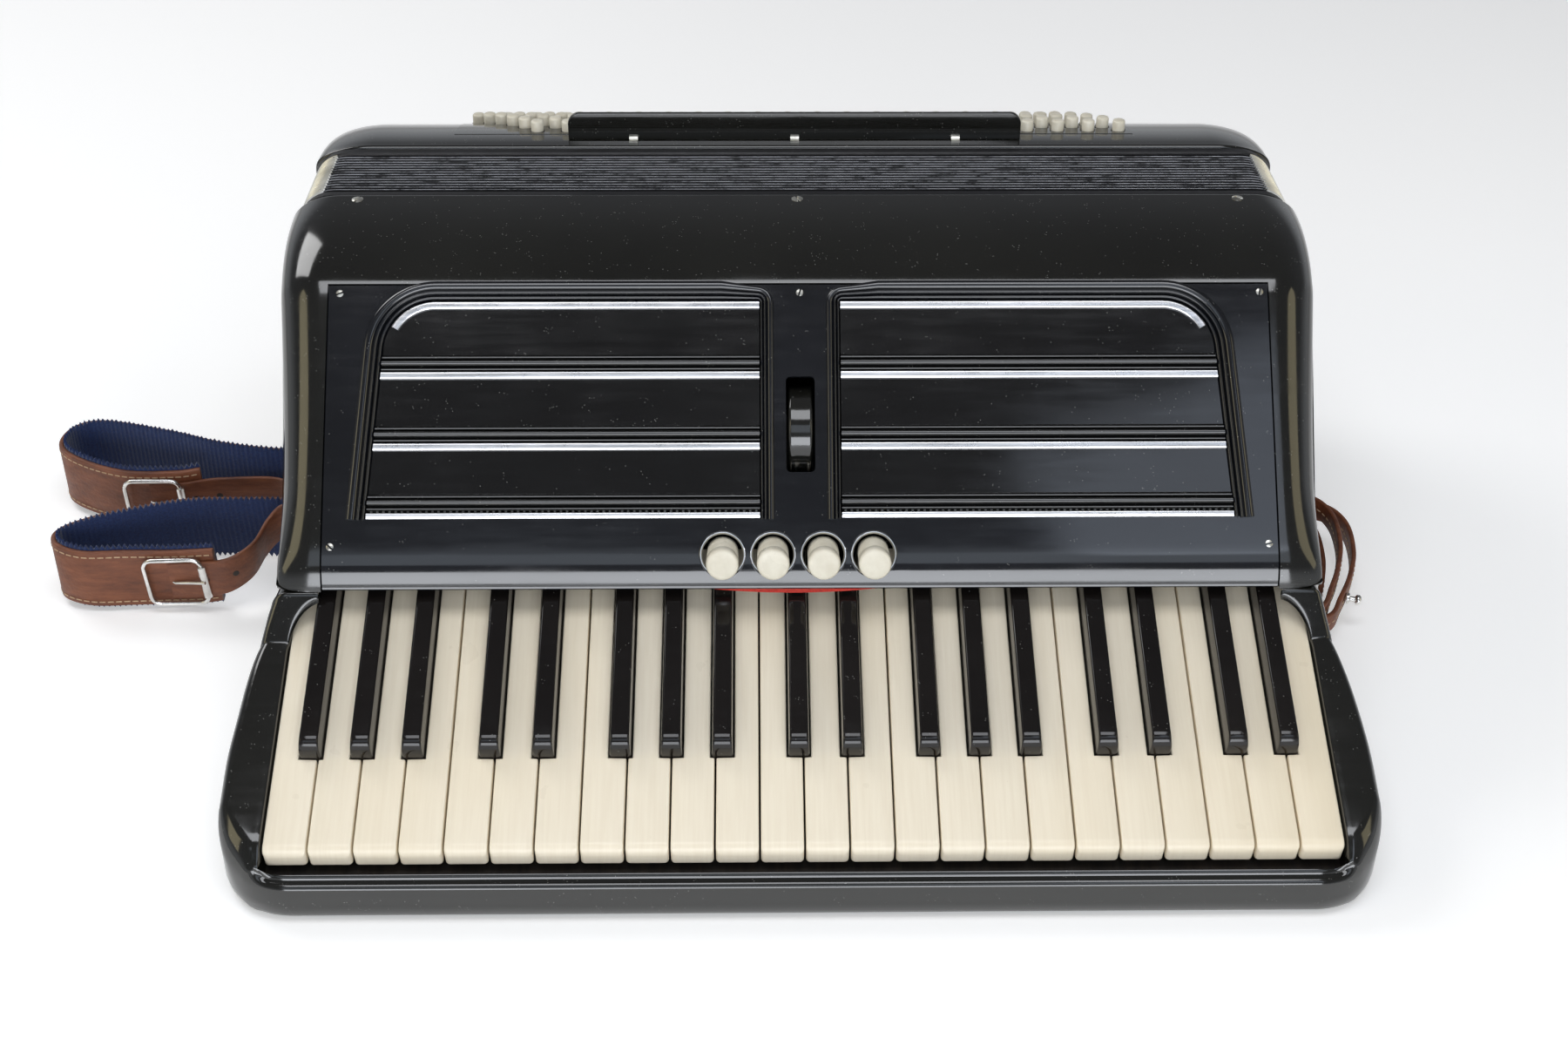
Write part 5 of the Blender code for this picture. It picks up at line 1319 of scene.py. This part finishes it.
def pinked(count, spacing, period=0.0028, depth=0.0015):
    """A zigzag edge: a triangle wave of the distance along the band."""
    phase = np.arange(count) * spacing / period
    return depth * (2 * np.abs(phase - np.floor(phase + 0.5)) * 2 - 1)


def shoulder_strap(name, route, first, buckle, finishes):
    """A broad lined pad from a place on its route onward, with a narrow holed strap buckled over its start."""
    points, across, face = strap_lines(route, -1, 36)
    begin = int(first * 36)
    pad = slice(begin, len(points))
    half_width = 0.0345
    leather_band = band(points[pad], across[pad], face[pad], half_width, -0.0018, 0.0008)
    narrow = slice(0, int((first + 1.6) * 36))
    outer = band(points[narrow], across[narrow], face[narrow], 0.0225, -0.0042, -0.0021)
    piece(name, "treble", finishes["leather"], leather_band, outer, stands_for=[f"shoulder_{name}"], slot="leather")
    line = points[pad]
    run = np.concatenate([[0], np.cumsum(np.linalg.norm(np.diff(line, axis=0), axis=1))])
    count = int(run[-1] / 0.00065)
    places = np.linspace(0, run[-1], count)

    def at(values):
        return np.stack([np.interp(places, run, values[:, k]) for k in range(3)], -1)

    width = 0.0372 + 2 * pinked(count, run[-1] / count)
    lining = band(at(line), unit(at(across[pad])), unit(at(face[pad])), width, 0.0009, 0.0024, 0.0002)
    piece(f"{name}_lining", "treble", finishes["navy"], lining)
    seams = [stitches(points[pad], across[pad] * side, face[pad], half_width / 2 - 0.0030, -0.0018)
             for side in (-1, 1)]
    piece(f"{name}_stitches", "treble", finishes["thread"], *seams)
    buckle_on(name, points, across, face, int(buckle * 36), finishes)
    # Painted shade: near-black discs laid on the narrow strap stand in for the shaded openings of its punched holes.
    hole_shade_disc = solid_of_turning([(0, -0.0004), (0.0017, -0.0004), (0.0017, 0.0001), (0, 0.0001)], 16)
    hole_shade_discs = []
    for index in (int((first - 0.75) * 36), int((first + 0.45) * 36)):
        place = np.eye(4)
        place[:3, 0], place[:3, 1] = across[index], np.cross(-face[index], across[index])
        place[:3, 2], place[:3, 3] = -face[index], points[index] - face[index] * 0.0042
        hole_shade_discs.append(copies(hole_shade_disc, [place]))
    piece(f"{name}_holes", "treble", finishes["wood"], *hole_shade_discs)


def buckle_on(name, points, across, face, index, finishes):
    """A rounded wire frame with a roller at one end and a tongue across it."""
    centre = points[index]
    ahead = unit(points[index + 3] - points[index - 3])
    over = -face[index]
    up = np.cross(over, ahead)
    if np.dot(up, across[index]) < 0:
        up = -up

    def place(u, v, h):
        return centre + u[..., None] * ahead + v[..., None] * up + h[..., None] * over

    half_u, half_v, corner = 0.0150, 0.0142, 0.005
    loop = np.concatenate([arc((sx * (half_u - corner), sy * (half_v - corner)), (corner, corner), turn, turn + 90, 6)
                           for sx, sy, turn in ((1, 1, 0), (-1, 1, 90), (-1, -1, 180), (1, -1, 270))])
    wire = tube(place(loop[:, 0], loop[:, 1], np.full(len(loop), 0.0050)), 0.0012, 8, closed=True)
    roll = np.linspace(-1, 1, 5) * 0.0098
    roller = tube(place(np.full(5, -half_u), roll, np.full(5, 0.0050)), 0.0023, 14)
    tongue = np.array([(half_u * 0.15, 0.0030), (0.0, 0.0052), (-half_u * 0.5, 0.0062), (-half_u - 0.001, 0.0078)])
    pin = tube(place(tongue[:, 0], np.linspace(-0.001, 0.001, 4), tongue[:, 1]), 0.0009, 8)
    piece(f"{name}_buckle", "treble", finishes["metal"], wire, roller, pin, slot="nickel", sharp=60)


def strap_ends(finishes):
    """Narrow strap tails looped at the casing's other side, with a stitched middle line."""
    shapes, seams = [], []
    for spread, rise, width in ((1.0, 0.0, 0.011), (0.86, 0.005, 0.011), (0.72, -0.004, 0.010), (0.60, 0.002, 0.010)):
        route = [(out * spread if out > 0.004 else out, past * (0.9 + 0.1 * spread), z + rise * min(1, out / 0.02), tilt)
                 for out, past, z, tilt in ENDS_ROUTE]
        points, across, face = strap_lines(route, 1, 20)
        shapes.append(band(points, across, face, width, -0.0012, 0.0012))
        for side, level in ((1, 0.0012), (1, -0.0012)):
            seams.append(stitches(points, across * 0.01, face * np.sign(level), 0.0, abs(level)))
    piece("strap_tails", "treble", finishes["leather"], *shapes, stands_for=["shoulder_strap_ends"], slot="leather")
    piece("strap_tail_stitches", "treble", finishes["thread"], *seams)
    stud = solid_of_turning([(0, 0.0), (0.0030, 0.0), (0.0030, 0.0012), (0.0016, 0.0018), (0.0016, 0.0040),
                             (0.0028, 0.0048), (0.0030, 0.0062), (0.0020, 0.0074), (0, 0.0078)], 24)
    place = Matrix.Translation((CASE_HALF + 0.0440, BELLOWS_START - 0.0690, 0.0165))
    place = place @ Vector((1, -0.3, 0)).to_track_quat("Z", "Y").to_matrix().to_4x4()
    piece("strap_tail_stud", "treble", finishes["metal"], copies(stud, [place]), slot="nickel", sharp=50)


# Turned metal parts

def knurled(turn):
    return 1 - 0.03 * (0.5 + 0.5 * np.cos(36 * turn))


def turned_parts(finishes):
    knob = [(0, 0.0), (0.0118, 0.0), (0.0130, 0.0012), (0.0130, 0.0076), (0.0122, 0.0086), (0.0112, 0.0090),
            (0.0080, 0.0086), (0, 0.0086)]
    place = Matrix.Translation((-REAR_HALF - GAP, BASS_END - 0.045, 0.110))
    place = place @ Vector((-1, 0, 0)).to_track_quat("Z", "Y").to_matrix().to_4x4()
    piece("strap_knob_wheel", "strap_knob", finishes["metal"], copies(solid_of_turning(knob, 144, knurled), [place]),
          stands_for=["strap_knob"], slot="nickel", sharp=50)
    cap = [(0, 0.0), (0.0070, 0.0), (0.0070, 0.0165), (0.0066, 0.0174), (0.0058, 0.0179), (0.0030, 0.0172), (0, 0.0170)]
    place = Matrix.Translation((AIR_BUTTON_X, BASS_END + 0.009 - 0.018, 0.128))
    place = place @ Vector((0, 1, 0)).to_track_quat("Z", "Y").to_matrix().to_4x4()
    piece("air_button_cap", "air_button", finishes["metal"], copies(solid_of_turning(cap, 40), [place]),
          stands_for=["air_button"], slot="nickel", sharp=50)


# The picture

def camera():
    data = bpy.data.cameras.new("camera")
    data.lens = CAMERA_LENS
    data.sensor_width = 36.0
    data.clip_start = 0.01
    thing = bpy.data.objects.new("camera", data)
    bpy.context.scene.collection.objects.link(thing)
    turn = (Matrix.Rotation(CAMERA_YAW, 4, "Z") @ Matrix.Rotation(pi / 2 - CAMERA_PITCH, 4, "X")
            @ Matrix.Rotation(-CAMERA_ROLL, 4, "Z"))
    thing.matrix_world = Matrix.Translation(CAMERA_PLACE) @ turn
    bpy.context.scene.camera = thing


def area_light(name, place, target, size, glow, colour=(1.0, 1.0, 1.0)):
    """A soft rectangular light of an even glow; its power is glow × pi × area."""
    data = bpy.data.lights.new(name, "AREA")
    data.shape = "RECTANGLE"
    data.size, data.size_y = size
    data.energy = glow * pi * size[0] * size[1]
    data.color = colour
    thing = bpy.data.objects.new(name, data)
    bpy.context.scene.collection.objects.link(thing)
    aim = (Vector(target) - Vector(place)).to_track_quat("-Z", "Y").to_matrix().to_4x4()
    thing.matrix_world = Matrix.Translation(place) @ aim


def floor():
    """A white floor: its colour carries the picture's background, a little lifted where it's seen or mirrored."""
    mesh = bpy.data.meshes.new("floor")
    far = 9.0
    mesh.from_pydata([(-far, -far, 0), (far, -far, 0), (far, far, 0), (-far, far, 0)], [], [(0, 1, 2, 3)])
    thing = bpy.data.objects.new("floor", mesh)
    bpy.context.scene.collection.objects.link(thing)
    shader = Shader("floor_white", (0.95, 0.95, 0.95), 0.9)
    shader.surface.inputs["Specular IOR Level"].default_value = 0.1
    path = shader.add("LightPath")
    seen = shader.maths("MAXIMUM", path.outputs["Is Camera Ray"], path.outputs["Is Glossy Ray"])
    seen = shader.maths("MAXIMUM", seen, path.outputs["Is Transmission Ray"])
    shader.links.new(shader.maths("MULTIPLY", seen, 0.30), shader.surface.inputs["Emission Strength"])
    shader.surface.inputs["Emission Color"].default_value = (1.0, 1.0, 1.0, 1.0)
    thing.data.materials.append(shader.material)


def world():
    """A dim room, a little paler near the horizon."""
    scene = bpy.context.scene
    scene.view_settings.view_transform = "Standard"
    surround = bpy.data.worlds.new("studio")
    surround.use_nodes = True
    nodes, links = surround.node_tree.nodes, surround.node_tree.links
    direction = nodes.new("ShaderNodeTexCoord").outputs["Generated"]
    split = nodes.new("ShaderNodeSeparateXYZ")
    ramp = nodes.new("ShaderNodeValToRGB")
    links.new(direction, split.inputs["Vector"])
    links.new(split.outputs["Z"], ramp.inputs["Fac"])
    stops = ((0.0, (0.60, 0.62, 0.64)), (0.16, (0.52, 0.54, 0.57)), (0.36, (0.15, 0.155, 0.17)), (1.0, (0.11, 0.11, 0.115)))
    while len(ramp.color_ramp.elements) < len(stops):
        ramp.color_ramp.elements.new(0.5)
    for element, (position, colour) in zip(ramp.color_ramp.elements, stops):
        element.position, element.color = position, (*colour, 1.0)
    links.new(ramp.outputs["Color"], nodes["Background"].inputs["Color"])
    scene.world = surround


FINISHES = make_finishes()
camera()
for number in range(WHITE_COUNT):
    white_key(number, FINISHES["ivory"])
for number, (boundary, shift) in enumerate(black_shifts().items()):
    black_key(number, boundary, shift, FINISHES["ebony"])
keyboard_frame(FINISHES)
piece("treble_shell", "treble", FINISHES["case"], skin(case_rows()), stands_for=["treble_casing"],
      slot="black_celluloid", sharp=30)
grille_panel(FINISHES)
register_buttons(FINISHES["cream"])
tone_wheel(FINISHES["case"])
bellows(FINISHES)
bass_casing(FINISHES)
bass_buttons(FINISHES)
bass_guard(FINISHES)
hand_strap(FINISHES)
shoulder_strap("strap_upper", UPPER_ROUTE, 6.0, 7.5, FINISHES)
shoulder_strap("strap_lower", LOWER_ROUTE, 5.5, 6.9, FINISHES)
strap_ends(FINISHES)
turned_parts(FINISHES)
floor()
world()
area_light("low_window_in_front", (0.0, -2.3, 0.52), (0, 0.1, 0.1), (2.0, 0.9), 5.0, (0.92, 0.95, 1.0))
area_light("sky_behind_camera", (0.0, -1.55, 1.55), (0, 0.13, 0.12), (2.0, 0.7), 0.8, (0.78, 0.88, 1.0))
area_light("lamp_high_right", (0.7, -1.3, 1.9), (0.05, 0.15, 0.15), (0.5, 0.5), 1.1, (0.75, 0.84, 1.0))
area_light("softbox_overhead", (0.0, -0.32, 1.90), (0.0, -0.32, 0.0), (1.5, 0.82), 3.8, (0.94, 0.96, 1.0))
area_light("window_left", (-1.6, -0.45, 1.0), (0, 0.2, 0.12), (0.6, 0.9), 1.6, (1.0, 0.88, 0.55))
area_light("window_right", (1.6, -0.45, 1.0), (0, 0.2, 0.12), (0.6, 0.9), 1.3, (1.0, 0.88, 0.55))
area_light("lamp_back_left", (-1.3, 1.1, 1.5), (0, 0.1, 0.0), (0.9, 0.9), 4.5)
